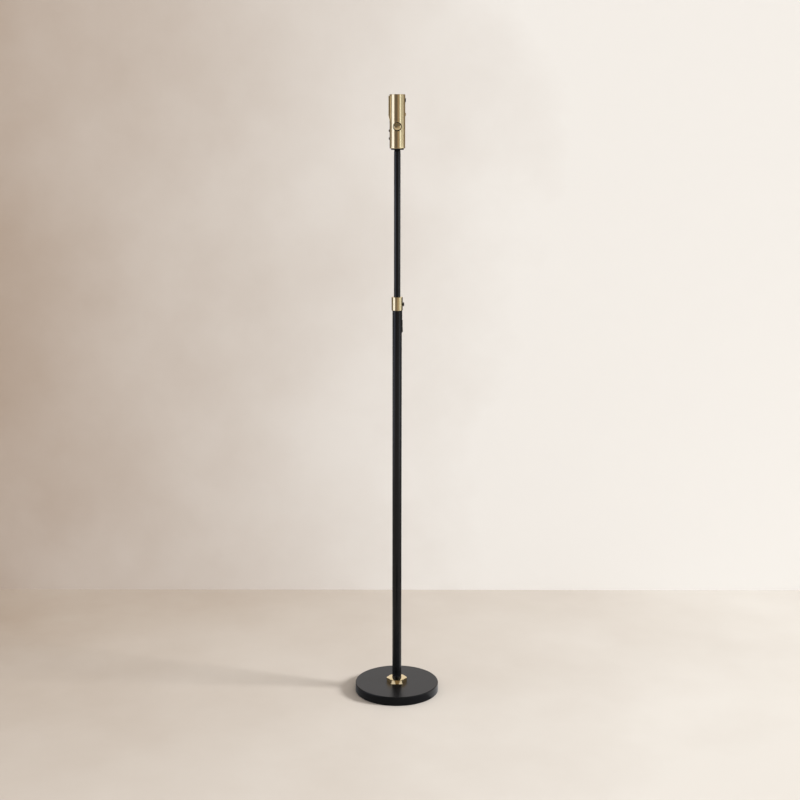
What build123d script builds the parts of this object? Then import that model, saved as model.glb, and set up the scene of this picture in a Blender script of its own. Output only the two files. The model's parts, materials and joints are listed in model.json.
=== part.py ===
from build123d import *
import math
import os

# Adjustable floor lamp, in millimetres. The origin is the centre of the foot on the floor, +Z is up.
# The front faces -Y. The light window, the knuckle slot and the tilt of the head are on the -X side,
# and the clamp screw and the switch on the +X side.

# Clearances
FIT_GAP = 0.05  # radial, between pieces that are pressed, screwed or glued together
RUN_GAP = 0.06  # radial, between pieces that turn or slide in each other
FREE_GAP = 0.3  # between pieces that only pass each other

# Base: a pressed steel cover over an iron weight, on a rubber pad
BASE_DIAMETER = 202.0
COVER_HEIGHT = 21.0
COVER_WALL = 1.5
COVER_RIM_RADIUS = 2.0
PAD_THICKNESS = 1.0
PAD_INSET = 3.0
PAD_EDGE = 0.3
WEIGHT_EDGE = 1.0
RECESS_DIAMETER = 52.0
RECESS_DEPTH = 10.5

# Lead outlet in the rear wall of the base
OUTLET_HEIGHT = 9.0
OUTLET_BORE = 6.4
GROMMET_WALL = 1.1
GROMMET_FLANGE = 1.5
GROMMET_SINK = 0.2

# Tie between the base and the pole
NIPPLE_DIAMETER = 10.0
NIPPLE_BORE = 7.0
NIPPLE_TAIL = 1.5
NIPPLE_REACH = 16.0
WASHER_DIAMETER = 30.0
WASHER_THICKNESS = 1.5
LOCK_NUT_FLATS = 17.0
LOCK_NUT_HEIGHT = 5.0

# Brass hexagon nut at the foot of the pole
FOOT_NUT_FLATS = 44.0
FOOT_NUT_HEIGHT = 10.7
FOOT_NUT_FLOOR = 2.7
FOOT_NUT_BEVEL = 30.0  # degrees

# Lower tube, in two lengths
LOWER_TUBE_DIAMETER = 22.0
LOWER_TUBE_WALL = 1.2
FIRST_LENGTH = 443.3
SECOND_LENGTH = 489.0
TUBE_END_BEVEL = 0.3
FOOT_PLUG_LENGTH = 25.0
JOINER_LENGTH = 50.0
JOINER_WALL = 2.5

# Brass collar with its clamp screw
COLLAR_DIAMETER = 26.2
COLLAR_LENGTH = 31.1
COLLAR_OVERLAP = 21.6
COLLAR_LIP = 2.0
COLLAR_BEVEL = 0.5
CLAMP_HEIGHT = 13.9  # screw axis above the foot of the collar
CLAMP_DIAMETER = 4.0
CLAMP_HEAD_DIAMETER = 9.0
CLAMP_HEAD_LENGTH = 2.8
CLAMP_HEAD_BEVEL = 0.4
CLAMP_FLUTES = 18
CLAMP_FLUTE_DEPTH = 0.35
CLAMP_PAD_LENGTH = 1.4
CLAMP_PAD_GAP = 0.1

# Rocker switch in the wall of the lower tube
SWITCH_DROP = 36.8  # switch centre below the collar
BEZEL_BORDER = 1.5  # below the rocker; above it the bezel runs on to the collar
BEZEL_END_RADIUS = 3.0
BEZEL_WIDTH = 14.0
BEZEL_RISE = 0.9
BEZEL_WALL = 1.0
ROCKER_LENGTH = 28.0
ROCKER_WIDTH = 7.4
ROCKER_RISE = 2.1
ROCKER_DISH = 0.3
ROCKER_DEPTH = 3.5
ROCKER_TILT = 1.0  # degrees, the top pressed in
ROCKER_PIN_DIAMETER = 1.2
BOARD_THICKNESS = 0.8
BOARD_WIDTH = 7.2
DOME_DIAMETER = 4.5
DOME_RISE = 0.3
DOME_SPACING = 18.0

# Upper tube and what guides it
UPPER_TUBE_DIAMETER = 15.0
UPPER_TUBE_WALL = 1.0
UPPER_TUBE_SHOWN = 323.45
BUSH_TAIL = 13.0
BUSH_LAND = 12.0
BUSH_RELIEF = 0.4
RAISE_TRAVEL = 100.0
STOP_GAP = 2.0
TAIL_GUIDE_LENGTH = 10.0
TAIL_GUIDE_FLOOR = 1.5

# Swivel at the top of the upper tube
SWIVEL_FLANGE = 0.8
SWIVEL_FLANGE_INSET = 0.2
SWIVEL_BUSH_LENGTH = 24.0
SWIVEL_SHANK_DIAMETER = 8.0
SWIVEL_TAIL = 2.0
SWIVEL_BORE = 4.5
SPRING_THICKNESS = 1.2
SPRING_WALL = 1.8
CLIP_THICKNESS = 0.8
CLIP_GROOVE = 0.6
CLIP_WALL = 2.4
CLIP_OPENING = 4.5
STEM_HEIGHT = 8.2
STEM_BEVEL = 0.6

# Tilt knuckle
BLADE_WIDTH = 14.0
BLADE_THICKNESS = 6.0
BLADE_WIRE_HOLE = 3.2
BLADE_WIRE_RISE = 14.0
FRICTION_DIAMETER = 13.0
FRICTION_THICKNESS = 0.5
PIVOT_DIAMETER = 6.0
PIVOT_CAP_DIAMETER = 17.0
PIVOT_CAP_RIM = 3.7
PIVOT_CAP_DOME = 1.8
PIVOT_CAP_RING = 1.5  # dark gap round the cap
PIVOT_SEAT = 11.5  # seat of the caps, out from the axis of the head
PIVOT_THREAD = 3.0
BLOCK_RISE = 14.5
SWEEP_GAP = 0.95

# Brass light head
HEAD_DIAMETER = 36.0
HEAD_WALL = 1.5
HEAD_ABOVE = 71.6  # top of the shell over the tilt axis
HEAD_BELOW = 48.5
HEAD_FOOT_RADIUS = 1.2
HEAD_TOP_BEVEL = 0.5
TOP_CAP_THICKNESS = 3.0
TOP_CAP_SINK = 0.3
FOOT_CAP_DIAMETER = 29.5
FOOT_CAP_LIP = 3.1
FOOT_CAP_PLUG = 4.0
FOOT_CAP_BEVEL = 0.7

# Light window in the head
WINDOW_FOOT = 13.5  # foot of the frame over the tilt axis
WINDOW_LENGTH = 54.7
WINDOW_WIDTH = 18.0
WINDOW_RISE = 2.3
WINDOW_RAMP = 10.5
WINDOW_EDGE = 1.2
WINDOW_BORDER = 3.5
WINDOW_END_BORDER = 5.0
WINDOW_LIP = 2.7
WINDOW_LIP_EDGE = 0.6
WINDOW_SKIRT = 0.8
WINDOW_SKIRT_DEPTH = 4.2
DIFFUSER_THICKNESS = 1.8
SINK_FACE = 9.4
LED_BOARD_THICKNESS = 1.6
LED_BOARD_WIDTH = 12.0
LED_BOARD_LENGTH = 44.0
LED_COUNT = 6
LED_SIZE = 3.0
LED_HEIGHT = 0.7
SINK_GROOVES = 3
SINK_GROOVE_WIDTH = 2.0
SINK_GROOVE_DEPTH = 6.0
SINK_GROOVE_PITCH = 5.5

# Screws in the head
BLOCK_SCREW_DROPS = (8.8, 26.4)  # below the tilt axis
BLOCK_SCREW_ANGLE = 30.0  # degrees behind the -X side
BLOCK_SCREW_DIAMETER = 3.0
BLOCK_SCREW_REACH = 5.4
BLOCK_SCREW_HEAD = 6.6
BLOCK_SCREW_HEIGHT = 3.2
CARRIER_SCREW_DIAMETER = 3.0
CARRIER_SCREW_REACH = 8.0
UPPER_SCREW_RISE = 58.7  # above the tilt axis
UPPER_SCREW_HEAD = 8.5
UPPER_SCREW_HEIGHT = 1.3
LOWER_SCREW_RISE = 27.5
LOWER_SCREW_HEAD = 7.0
LOWER_SCREW_HEIGHT = 1.5
SCREW_EDGE = 0.4

# Radii worked out from the sizes above
BASE_RADIUS = BASE_DIAMETER / 2
WEIGHT_RADIUS = BASE_RADIUS - COVER_WALL - FREE_GAP
GROMMET_RADIUS = OUTLET_BORE / 2 + GROMMET_WALL
GROMMET_FLANGE_RADIUS = GROMMET_RADIUS + GROMMET_FLANGE
NIPPLE_RADIUS = NIPPLE_DIAMETER / 2
NIPPLE_HOLE_RADIUS = NIPPLE_RADIUS + FIT_GAP
LOWER_RADIUS = LOWER_TUBE_DIAMETER / 2
LOWER_BORE_RADIUS = LOWER_RADIUS - LOWER_TUBE_WALL
LINER_RADIUS = LOWER_BORE_RADIUS - FIT_GAP
COLLAR_RADIUS = COLLAR_DIAMETER / 2
CLAMP_RADIUS = CLAMP_DIAMETER / 2
CLAMP_HEAD_RADIUS = CLAMP_HEAD_DIAMETER / 2
UPPER_RADIUS = UPPER_TUBE_DIAMETER / 2
UPPER_BORE_RADIUS = UPPER_RADIUS - UPPER_TUBE_WALL
SHANK_RADIUS = SWIVEL_SHANK_DIAMETER / 2
CLIP_RADIUS = SHANK_RADIUS - CLIP_GROOVE
PIVOT_RADIUS = PIVOT_DIAMETER / 2
PIVOT_CAP_RADIUS = PIVOT_CAP_DIAMETER / 2
PIVOT_HOLE_RADIUS = PIVOT_CAP_RADIUS + PIVOT_CAP_RING
BLADE_RADIUS = BLADE_WIDTH / 2
KNUCKLE_RADIUS = BLADE_RADIUS + FREE_GAP
KNUCKLE_HALF_SLOT = BLADE_THICKNESS / 2 + FRICTION_THICKNESS + 2 * RUN_GAP
HEAD_RADIUS = HEAD_DIAMETER / 2
HEAD_BORE_RADIUS = HEAD_RADIUS - HEAD_WALL
CORE_RADIUS = HEAD_BORE_RADIUS - FIT_GAP
FOOT_CAP_CORNER = math.hypot(HEAD_BELOW + FOOT_CAP_LIP, FOOT_CAP_DIAMETER / 2)
BLADE_REACH = FOOT_CAP_CORNER + SWEEP_GAP

# Opening for the rocker and the skirt round it
OPENING_LENGTH = ROCKER_LENGTH + 2 * FREE_GAP
OPENING_WIDTH = ROCKER_WIDTH + 2 * FREE_GAP
SKIRT_LENGTH = OPENING_LENGTH + 2 * BEZEL_WALL
SKIRT_WIDTH = OPENING_WIDTH + 2 * BEZEL_WALL

# Heights worked out from the floor up
COVER_BOTTOM = PAD_THICKNESS
BASE_TOP = COVER_BOTTOM + COVER_HEIGHT
COVER_ROOF = BASE_TOP - COVER_WALL
RECESS_ROOF = COVER_BOTTOM + RECESS_DEPTH
WASHER_FOOT = RECESS_ROOF - WASHER_THICKNESS
LOCK_NUT_FOOT = WASHER_FOOT - LOCK_NUT_HEIGHT
TUBE_FOOT = BASE_TOP + FOOT_NUT_FLOOR
SEAM = TUBE_FOOT + FIRST_LENGTH
LOWER_TUBE_TOP = SEAM + SECOND_LENGTH
COLLAR_FOOT = LOWER_TUBE_TOP - COLLAR_OVERLAP
COLLAR_TOP = COLLAR_FOOT + COLLAR_LENGTH
CLAMP_AXIS = COLLAR_FOOT + CLAMP_HEIGHT
SWITCH_AXIS = COLLAR_FOOT - SWITCH_DROP
BEZEL_FOOT = SWITCH_AXIS - OPENING_LENGTH / 2 - BEZEL_BORDER
BEZEL_TOP = COLLAR_FOOT - FREE_GAP
BUSH_FOOT = SWITCH_AXIS - SKIRT_LENGTH / 2 - BUSH_TAIL
BUSH_TOP = COLLAR_TOP - COLLAR_LIP
TAIL_GUIDE_TOP = BUSH_FOOT - STOP_GAP - RAISE_TRAVEL
TAIL_GUIDE_FOOT = TAIL_GUIDE_TOP - TAIL_GUIDE_LENGTH
UPPER_TUBE_FOOT = TAIL_GUIDE_FOOT + TAIL_GUIDE_FLOOR
UPPER_TUBE_TOP = COLLAR_TOP + UPPER_TUBE_SHOWN
STEM_FOOT = UPPER_TUBE_TOP + SWIVEL_FLANGE + RUN_GAP
STEM_TOP = STEM_FOOT + STEM_HEIGHT
SWIVEL_BUSH_FOOT = UPPER_TUBE_TOP - SWIVEL_BUSH_LENGTH
SPRING_FOOT = SWIVEL_BUSH_FOOT - RUN_GAP - SPRING_THICKNESS
CLIP_FOOT = SPRING_FOOT - CLIP_THICKNESS
TILT_AXIS = STEM_TOP + BLADE_REACH
HEAD_FOOT = TILT_AXIS - HEAD_BELOW
HEAD_TOP = TILT_AXIS + HEAD_ABOVE
FOOT_CAP_FOOT = HEAD_FOOT - FOOT_CAP_LIP
BLOCK_FOOT = HEAD_FOOT + FOOT_CAP_PLUG
BLOCK_TOP = TILT_AXIS + BLOCK_RISE
TOP_CAP_TOP = HEAD_TOP - TOP_CAP_SINK
TOP_CAP_FOOT = TOP_CAP_TOP - TOP_CAP_THICKNESS
FRAME_FOOT = TILT_AXIS + WINDOW_FOOT
FRAME_TOP = FRAME_FOOT + WINDOW_LENGTH

# Depths of the switch and the light window
ROCKER_FACE = LOWER_RADIUS + ROCKER_RISE
ROCKER_BACK = ROCKER_FACE - ROCKER_DEPTH
ROCKER_AXIS = ROCKER_BACK + ROCKER_PIN_DIAMETER / 2 + FREE_GAP
BOARD_BACK = UPPER_RADIUS + RUN_GAP + FREE_GAP + BUSH_RELIEF
BOARD_FACE = BOARD_BACK + BOARD_THICKNESS
BEZEL_FACE = LOWER_RADIUS + BEZEL_RISE
FRAME_FACE = HEAD_RADIUS + WINDOW_RISE
WINDOW_HALF = WINDOW_WIDTH / 2 - WINDOW_BORDER
WINDOW_SILL = FRAME_FOOT + WINDOW_END_BORDER
WINDOW_LINTEL = FRAME_TOP - WINDOW_END_BORDER
WINDOW_MIDDLE = (WINDOW_SILL + WINDOW_LINTEL) / 2
DIFFUSER_FACE = FRAME_FACE - WINDOW_LIP


def rod(radius, foot, top):
    """Upright round bar on the axis of the lamp."""
    return Pos(0, 0, foot) * extrude(Circle(radius), top - foot)


def rod_x(radius, near, far, height, across=0.0):
    """Round bar along X from near to far."""
    return Pos(near, across, height) * Rot(0, 90, 0) * extrude(Circle(radius), far - near)


def rod_y(radius, near, far, height):
    """Round bar along Y from near to far, in the middle plane of the lamp."""
    return Pos(0, near, height) * Rot(-90, 0, 0) * extrude(Circle(radius), far - near)


def sleeve(radius, bore_radius, foot, top):
    """Upright tube on the axis of the lamp."""
    return Pos(0, 0, foot) * extrude(Circle(radius) - Circle(bore_radius), top - foot)


def block(near_x, far_x, half_width, foot, top):
    """Rectangular bar between two X faces, centred on Y."""
    plan = Pos((near_x + far_x) / 2, 0) * Rectangle(far_x - near_x, 2 * half_width)
    return Pos(0, 0, foot) * extrude(plan, top - foot)


def hexagon(flats, foot, top):
    """Upright hexagonal bar with one flat to the front."""
    return Pos(0, 0, foot) * extrude(RegularPolygon(flats / 2, 6, major_radius=False), top - foot)


def turned(*corners):
    """Solid of revolution on the axis of the lamp, from (radius, height) corners."""
    return revolve(Plane.XZ * make_face(Polyline(*corners, close=True)), Axis.Z)


def slab_xz(half_width, *corners):
    """Plate of an (x, height) outline, centred on Y."""
    outline = Plane.XZ * make_face(Polyline(*corners, close=True))
    return extrude(outline, half_width, both=True)


def rims(piece, radius, height):
    """Round edges of one radius at one height."""
    circles = piece.edges().filter_by(GeomType.CIRCLE)
    return [edge for edge in circles
            if math.isclose(edge.radius, radius, abs_tol=0.001)
            and math.isclose(edge.arc_center.Z, height, abs_tol=0.001)]


def screw_x(head_radius, head_height, shank_radius, reach, bearing, height):
    """Pan-head screw along X: bearing face of the head at x = bearing, head towards +X."""
    head = extrude(Circle(head_radius), head_height)
    head = chamfer(head.edges().group_by(Axis.Z)[-1], SCREW_EDGE)
    screw = head + Pos(0, 0, -reach) * extrude(Circle(shank_radius), reach)
    return Pos(bearing, 0, height) * Rot(0, 90, 0) * screw


def knuckle_slot():
    """Room for the blade in the head, from upright to swung out through the -X side."""
    out = -HEAD_DIAMETER
    below = slab_xz(KNUCKLE_HALF_SLOT, (out, FOOT_CAP_FOOT - 1), (KNUCKLE_RADIUS, FOOT_CAP_FOOT - 1),
                    (KNUCKLE_RADIUS, TILT_AXIS), (out, TILT_AXIS))
    above = slab_xz(KNUCKLE_HALF_SLOT, (out, TILT_AXIS), (0, TILT_AXIS),
                    (0, TILT_AXIS + KNUCKLE_RADIUS), (out, TILT_AXIS + KNUCKLE_RADIUS))
    end = rod_y(KNUCKLE_RADIUS, -KNUCKLE_HALF_SLOT, KNUCKLE_HALF_SLOT, TILT_AXIS)
    return below + above + end


# Base

def base_cover():
    cover = rod(BASE_RADIUS, COVER_BOTTOM, BASE_TOP)
    cover = fillet(rims(cover, BASE_RADIUS, BASE_TOP), COVER_RIM_RADIUS)
    cover -= rod(BASE_RADIUS - COVER_WALL, COVER_BOTTOM, COVER_ROOF)
    cover -= rod(NIPPLE_HOLE_RADIUS, COVER_BOTTOM, BASE_TOP)
    return cover - rod_y(GROMMET_RADIUS + FIT_GAP, 0, BASE_DIAMETER, OUTLET_HEIGHT)


def base_weight():
    weight = rod(WEIGHT_RADIUS, COVER_BOTTOM, COVER_ROOF)
    weight = chamfer(rims(weight, WEIGHT_RADIUS, COVER_ROOF), WEIGHT_EDGE)
    weight -= rod(RECESS_DIAMETER / 2, COVER_BOTTOM, RECESS_ROOF)
    channel_width = 2 * (GROMMET_FLANGE_RADIUS + FREE_GAP)
    channel_roof = OUTLET_HEIGHT + GROMMET_FLANGE_RADIUS + FREE_GAP
    plan = Pos(0, BASE_RADIUS / 2) * Rectangle(channel_width, BASE_RADIUS)
    weight -= Pos(0, 0, COVER_BOTTOM) * extrude(plan, channel_roof - COVER_BOTTOM)
    return weight - rod(NIPPLE_HOLE_RADIUS, COVER_BOTTOM, COVER_ROOF)


def base_pad():
    pad = rod(BASE_RADIUS - PAD_INSET, 0, PAD_THICKNESS)
    return chamfer(rims(pad, BASE_RADIUS - PAD_INSET, 0), PAD_EDGE)


def cord_grommet():
    wall = BASE_RADIUS - COVER_WALL
    seat = math.sqrt(wall ** 2 - GROMMET_FLANGE_RADIUS ** 2) - FIT_GAP
    grommet = rod_y(GROMMET_FLANGE_RADIUS, seat - GROMMET_FLANGE, seat, OUTLET_HEIGHT)
    grommet += rod_y(GROMMET_RADIUS, seat, BASE_RADIUS - GROMMET_SINK, OUTLET_HEIGHT)
    return grommet - rod_y(OUTLET_BORE / 2, 0, BASE_DIAMETER, OUTLET_HEIGHT)


def base_nipple():
    return sleeve(NIPPLE_RADIUS, NIPPLE_BORE / 2, LOCK_NUT_FOOT - NIPPLE_TAIL, TUBE_FOOT + NIPPLE_REACH)


def base_washer():
    return sleeve(WASHER_DIAMETER / 2, NIPPLE_HOLE_RADIUS, WASHER_FOOT, RECESS_ROOF)


def base_lock_nut():
    nut = hexagon(LOCK_NUT_FLATS, LOCK_NUT_FOOT, WASHER_FOOT)
    return nut - rod(NIPPLE_HOLE_RADIUS, LOCK_NUT_FOOT, WASHER_FOOT)


def pole_foot_nut():
    top = BASE_TOP + FOOT_NUT_HEIGHT
    face_radius = FOOT_NUT_FLATS / 2
    outside = FOOT_NUT_FLATS
    drop = (outside - face_radius) * math.tan(math.radians(FOOT_NUT_BEVEL))
    bevel = turned((0, top), (face_radius, top), (outside, top - drop), (outside, BASE_TOP - drop),
                   (0, BASE_TOP - drop))
    nut = hexagon(FOOT_NUT_FLATS, BASE_TOP, top) & bevel
    nut -= rod(LOWER_RADIUS + FIT_GAP, TUBE_FOOT, top)
    return nut - rod(NIPPLE_HOLE_RADIUS, BASE_TOP, TUBE_FOOT)


# Lower tube

def tube_foot_plug():
    return sleeve(LINER_RADIUS, NIPPLE_HOLE_RADIUS, TUBE_FOOT, TUBE_FOOT + FOOT_PLUG_LENGTH)


def lower_tube_bottom():
    tube = sleeve(LOWER_RADIUS, LOWER_BORE_RADIUS, TUBE_FOOT, SEAM)
    return chamfer(rims(tube, LOWER_RADIUS, SEAM), TUBE_END_BEVEL)


def tube_joiner():
    half = JOINER_LENGTH / 2
    return sleeve(LINER_RADIUS, LINER_RADIUS - JOINER_WALL, SEAM - half, SEAM + half)


def switch_opening(near, gap):
    """Cut for the skirt of the switch bezel, from x = near outwards."""
    half = SKIRT_LENGTH / 2 + gap
    return block(near, LOWER_TUBE_DIAMETER, SKIRT_WIDTH / 2 + gap, SWITCH_AXIS - half, SWITCH_AXIS + half)


def lower_tube_top():
    tube = sleeve(LOWER_RADIUS, LOWER_BORE_RADIUS, SEAM, LOWER_TUBE_TOP)
    tube = chamfer(rims(tube, LOWER_RADIUS, SEAM), TUBE_END_BEVEL)
    tube -= switch_opening(0, FIT_GAP)
    return tube - rod_x(CLAMP_RADIUS + FREE_GAP, 0, LOWER_TUBE_DIAMETER, CLAMP_AXIS)


# Collar, clamp and guide

def collar():
    ring = rod(COLLAR_RADIUS, COLLAR_FOOT, COLLAR_TOP)
    ends = rims(ring, COLLAR_RADIUS, COLLAR_FOOT) + rims(ring, COLLAR_RADIUS, COLLAR_TOP)
    ring = chamfer(ends, COLLAR_BEVEL)
    ring -= rod(LOWER_RADIUS + FIT_GAP, COLLAR_FOOT, LOWER_TUBE_TOP)
    ring -= rod(LINER_RADIUS + FIT_GAP, COLLAR_FOOT, BUSH_TOP)
    ring -= rod(UPPER_RADIUS + FREE_GAP, COLLAR_FOOT, COLLAR_TOP)
    return ring - rod_x(CLAMP_RADIUS + RUN_GAP, 0, COLLAR_DIAMETER, CLAMP_AXIS)


def guide_bush():
    bore_radius = UPPER_RADIUS + RUN_GAP
    bush = sleeve(LINER_RADIUS, bore_radius, BUSH_FOOT, BUSH_TOP)
    bush -= rod(bore_radius + BUSH_RELIEF, BUSH_FOOT + BUSH_LAND, BUSH_TOP - BUSH_LAND)
    bush -= switch_opening(BOARD_BACK - FIT_GAP, FIT_GAP)
    return bush - rod_x(CLAMP_RADIUS + RUN_GAP, 0, COLLAR_DIAMETER, CLAMP_AXIS)


def clamp_pad():
    near = UPPER_RADIUS + CLAMP_PAD_GAP
    return rod_x(CLAMP_RADIUS, near, near + CLAMP_PAD_LENGTH, CLAMP_AXIS)


def clamp_screw():
    tip = UPPER_RADIUS + CLAMP_PAD_GAP + CLAMP_PAD_LENGTH + RUN_GAP
    under_head = COLLAR_RADIUS + FREE_GAP
    head = extrude(Circle(CLAMP_HEAD_RADIUS), CLAMP_HEAD_LENGTH)
    head = chamfer(rims(head, CLAMP_HEAD_RADIUS, CLAMP_HEAD_LENGTH), CLAMP_HEAD_BEVEL)
    flute = extrude(Circle(2 * CLAMP_FLUTE_DEPTH), CLAMP_HEAD_LENGTH)
    head -= PolarLocations(CLAMP_HEAD_RADIUS + CLAMP_FLUTE_DEPTH, CLAMP_FLUTES) * flute
    shank_length = under_head - tip
    screw = head + Pos(0, 0, -shank_length) * extrude(Circle(CLAMP_RADIUS), shank_length)
    return Pos(under_head, 0, CLAMP_AXIS) * Rot(0, 90, 0) * screw


# Rocker switch

def switch_bezel():
    outline = Plane.YZ * RectangleRounded(BEZEL_WIDTH, BEZEL_TOP - BEZEL_FOOT, BEZEL_END_RADIUS)
    saddle = sleeve(BEZEL_FACE, LOWER_RADIUS + FIT_GAP, BEZEL_FOOT, BEZEL_TOP)
    saddle &= Pos(0, 0, (BEZEL_FOOT + BEZEL_TOP) / 2) * extrude(outline, LOWER_TUBE_DIAMETER)
    skirt_back = BOARD_FACE + DOME_RISE
    skirt_half = SKIRT_LENGTH / 2
    skirt = block(skirt_back, BEZEL_FACE, SKIRT_WIDTH / 2, SWITCH_AXIS - skirt_half, SWITCH_AXIS + skirt_half)
    skirt &= rod(BEZEL_FACE, BEZEL_FOOT, BEZEL_TOP)
    opening_half = OPENING_LENGTH / 2
    bezel = saddle + skirt
    bezel -= block(0, LOWER_TUBE_DIAMETER, OPENING_WIDTH / 2, SWITCH_AXIS - opening_half,
                   SWITCH_AXIS + opening_half)
    pin_hole = Pos(ROCKER_AXIS, 0, 0) * rod_y(ROCKER_PIN_DIAMETER / 2 + FIT_GAP, -SKIRT_WIDTH, SKIRT_WIDTH,
                                              SWITCH_AXIS)
    return bezel - pin_hole


def switch_rocker():
    half = ROCKER_LENGTH / 2
    middle = ROCKER_FACE - ROCKER_DISH
    rocker = slab_xz(ROCKER_WIDTH / 2, (ROCKER_BACK, -half), (ROCKER_FACE, -half), (middle, 0),
                     (ROCKER_FACE, half), (ROCKER_BACK, half))
    bore = Pos(ROCKER_AXIS, 0, 0) * rod_y(ROCKER_PIN_DIAMETER / 2 + RUN_GAP, -ROCKER_WIDTH, ROCKER_WIDTH, 0)
    tilted = Rot(0, -ROCKER_TILT, 0) * Pos(-ROCKER_AXIS, 0, 0) * (rocker - bore)
    return Pos(ROCKER_AXIS, 0, SWITCH_AXIS) * tilted


def rocker_pin():
    half = SKIRT_WIDTH / 2
    return Pos(ROCKER_AXIS, 0, 0) * rod_y(ROCKER_PIN_DIAMETER / 2, -half, half, SWITCH_AXIS)


def switch_board():
    half = SKIRT_LENGTH / 2
    return block(BOARD_BACK, BOARD_FACE, BOARD_WIDTH / 2, SWITCH_AXIS - half, SWITCH_AXIS + half)


def switch_domes():
    half = DOME_SPACING / 2
    domes = [rod_x(DOME_DIAMETER / 2, BOARD_FACE, BOARD_FACE + DOME_RISE, SWITCH_AXIS + side)
             for side in (-half, half)]
    return Compound(domes)


# Upper tube

def upper_tube():
    return sleeve(UPPER_RADIUS, UPPER_BORE_RADIUS, UPPER_TUBE_FOOT, UPPER_TUBE_TOP)


def tail_guide():
    guide = rod(LOWER_BORE_RADIUS - RUN_GAP, TAIL_GUIDE_FOOT, TAIL_GUIDE_TOP)
    guide -= rod(UPPER_RADIUS + FIT_GAP, UPPER_TUBE_FOOT, TAIL_GUIDE_TOP)
    return guide - rod(UPPER_BORE_RADIUS, TAIL_GUIDE_FOOT, UPPER_TUBE_FOOT)


# Swivel

def swivel_bush():
    bush = rod(UPPER_BORE_RADIUS - FIT_GAP, SWIVEL_BUSH_FOOT, UPPER_TUBE_TOP)
    bush += rod(UPPER_RADIUS - SWIVEL_FLANGE_INSET, UPPER_TUBE_TOP, UPPER_TUBE_TOP + SWIVEL_FLANGE)
    return bush - rod(SHANK_RADIUS + RUN_GAP, SWIVEL_BUSH_FOOT, UPPER_TUBE_TOP + SWIVEL_FLANGE)


def swivel_stem():
    foot = CLIP_FOOT - SWIVEL_TAIL
    neck = rod(UPPER_RADIUS, STEM_FOOT, STEM_TOP)
    neck = chamfer(rims(neck, UPPER_RADIUS, STEM_TOP), STEM_BEVEL)
    blade = block(-BLADE_RADIUS, BLADE_RADIUS, BLADE_THICKNESS / 2, STEM_TOP, TILT_AXIS)
    blade += rod_y(BLADE_RADIUS, -BLADE_THICKNESS / 2, BLADE_THICKNESS / 2, TILT_AXIS)
    blade -= rod_y(PIVOT_RADIUS + RUN_GAP, -BLADE_THICKNESS, BLADE_THICKNESS, TILT_AXIS)
    stem = rod(SHANK_RADIUS, foot, STEM_FOOT) + neck + blade
    stem -= sleeve(2 * SHANK_RADIUS, CLIP_RADIUS, CLIP_FOOT, CLIP_FOOT + CLIP_THICKNESS)
    exit_height = STEM_TOP + BLADE_WIRE_RISE
    stem -= rod(SWIVEL_BORE / 2, foot, STEM_TOP)
    stem -= rod(BLADE_WIRE_HOLE / 2, STEM_TOP, exit_height)
    return stem - rod_x(BLADE_WIRE_HOLE / 2, 0, BLADE_WIDTH, exit_height)


def swivel_spring():
    bore_radius = SHANK_RADIUS + RUN_GAP
    return sleeve(bore_radius + SPRING_WALL, bore_radius, SPRING_FOOT, SPRING_FOOT + SPRING_THICKNESS)


def swivel_clip():
    bore_radius = CLIP_RADIUS + FIT_GAP
    clip = sleeve(bore_radius + CLIP_WALL, bore_radius, CLIP_FOOT + FIT_GAP, SPRING_FOOT - FIT_GAP)
    return clip - block(0, SWIVEL_SHANK_DIAMETER, CLIP_OPENING / 2, CLIP_FOOT, SPRING_FOOT)


# Tilt knuckle

def pivot_cap():
    """Round cap with a domed face towards +Z and its seat at Z = 0."""
    sphere_radius = (PIVOT_CAP_RADIUS ** 2 + PIVOT_CAP_DOME ** 2) / (2 * PIVOT_CAP_DOME)
    height = PIVOT_CAP_RIM + PIVOT_CAP_DOME
    dome = Pos(0, 0, height - sphere_radius) * Sphere(sphere_radius)
    return rod(PIVOT_CAP_RADIUS, 0, height) & dome


def pivot_bolt():
    bolt = pivot_cap()
    bolt += rod(PIVOT_RADIUS, -2 * PIVOT_SEAT - PIVOT_THREAD, 0)
    return Pos(0, -PIVOT_SEAT, TILT_AXIS) * Rot(90, 0, 0) * bolt


def pivot_nut():
    nut = pivot_cap() - rod(PIVOT_RADIUS + FIT_GAP, 0, PIVOT_THREAD + FIT_GAP)
    return Pos(0, PIVOT_SEAT, TILT_AXIS) * Rot(-90, 0, 0) * nut


def friction_washers():
    near = BLADE_THICKNESS / 2 + RUN_GAP
    far = near + FRICTION_THICKNESS
    hole = rod_y(PIVOT_RADIUS + FIT_GAP, -far, far, TILT_AXIS)
    front = rod_y(FRICTION_DIAMETER / 2, -far, -near, TILT_AXIS) - hole
    rear = rod_y(FRICTION_DIAMETER / 2, near, far, TILT_AXIS) - hole
    return Compound([front, rear])


def block_screw_place(drop):
    """Frame of one block screw: +Z points out of the head, origin on the shell."""
    outwards = Rot(0, 0, -BLOCK_SCREW_ANGLE) * Rot(0, -90, 0)
    return Pos(0, 0, TILT_AXIS - drop) * outwards * Pos(0, 0, HEAD_RADIUS)


def block_screw_holes():
    depth = HEAD_WALL + BLOCK_SCREW_REACH
    hole = Pos(0, 0, -depth) * extrude(Circle(BLOCK_SCREW_DIAMETER / 2 + FIT_GAP), 2 * depth)
    return [block_screw_place(drop) * hole for drop in BLOCK_SCREW_DROPS]


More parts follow.
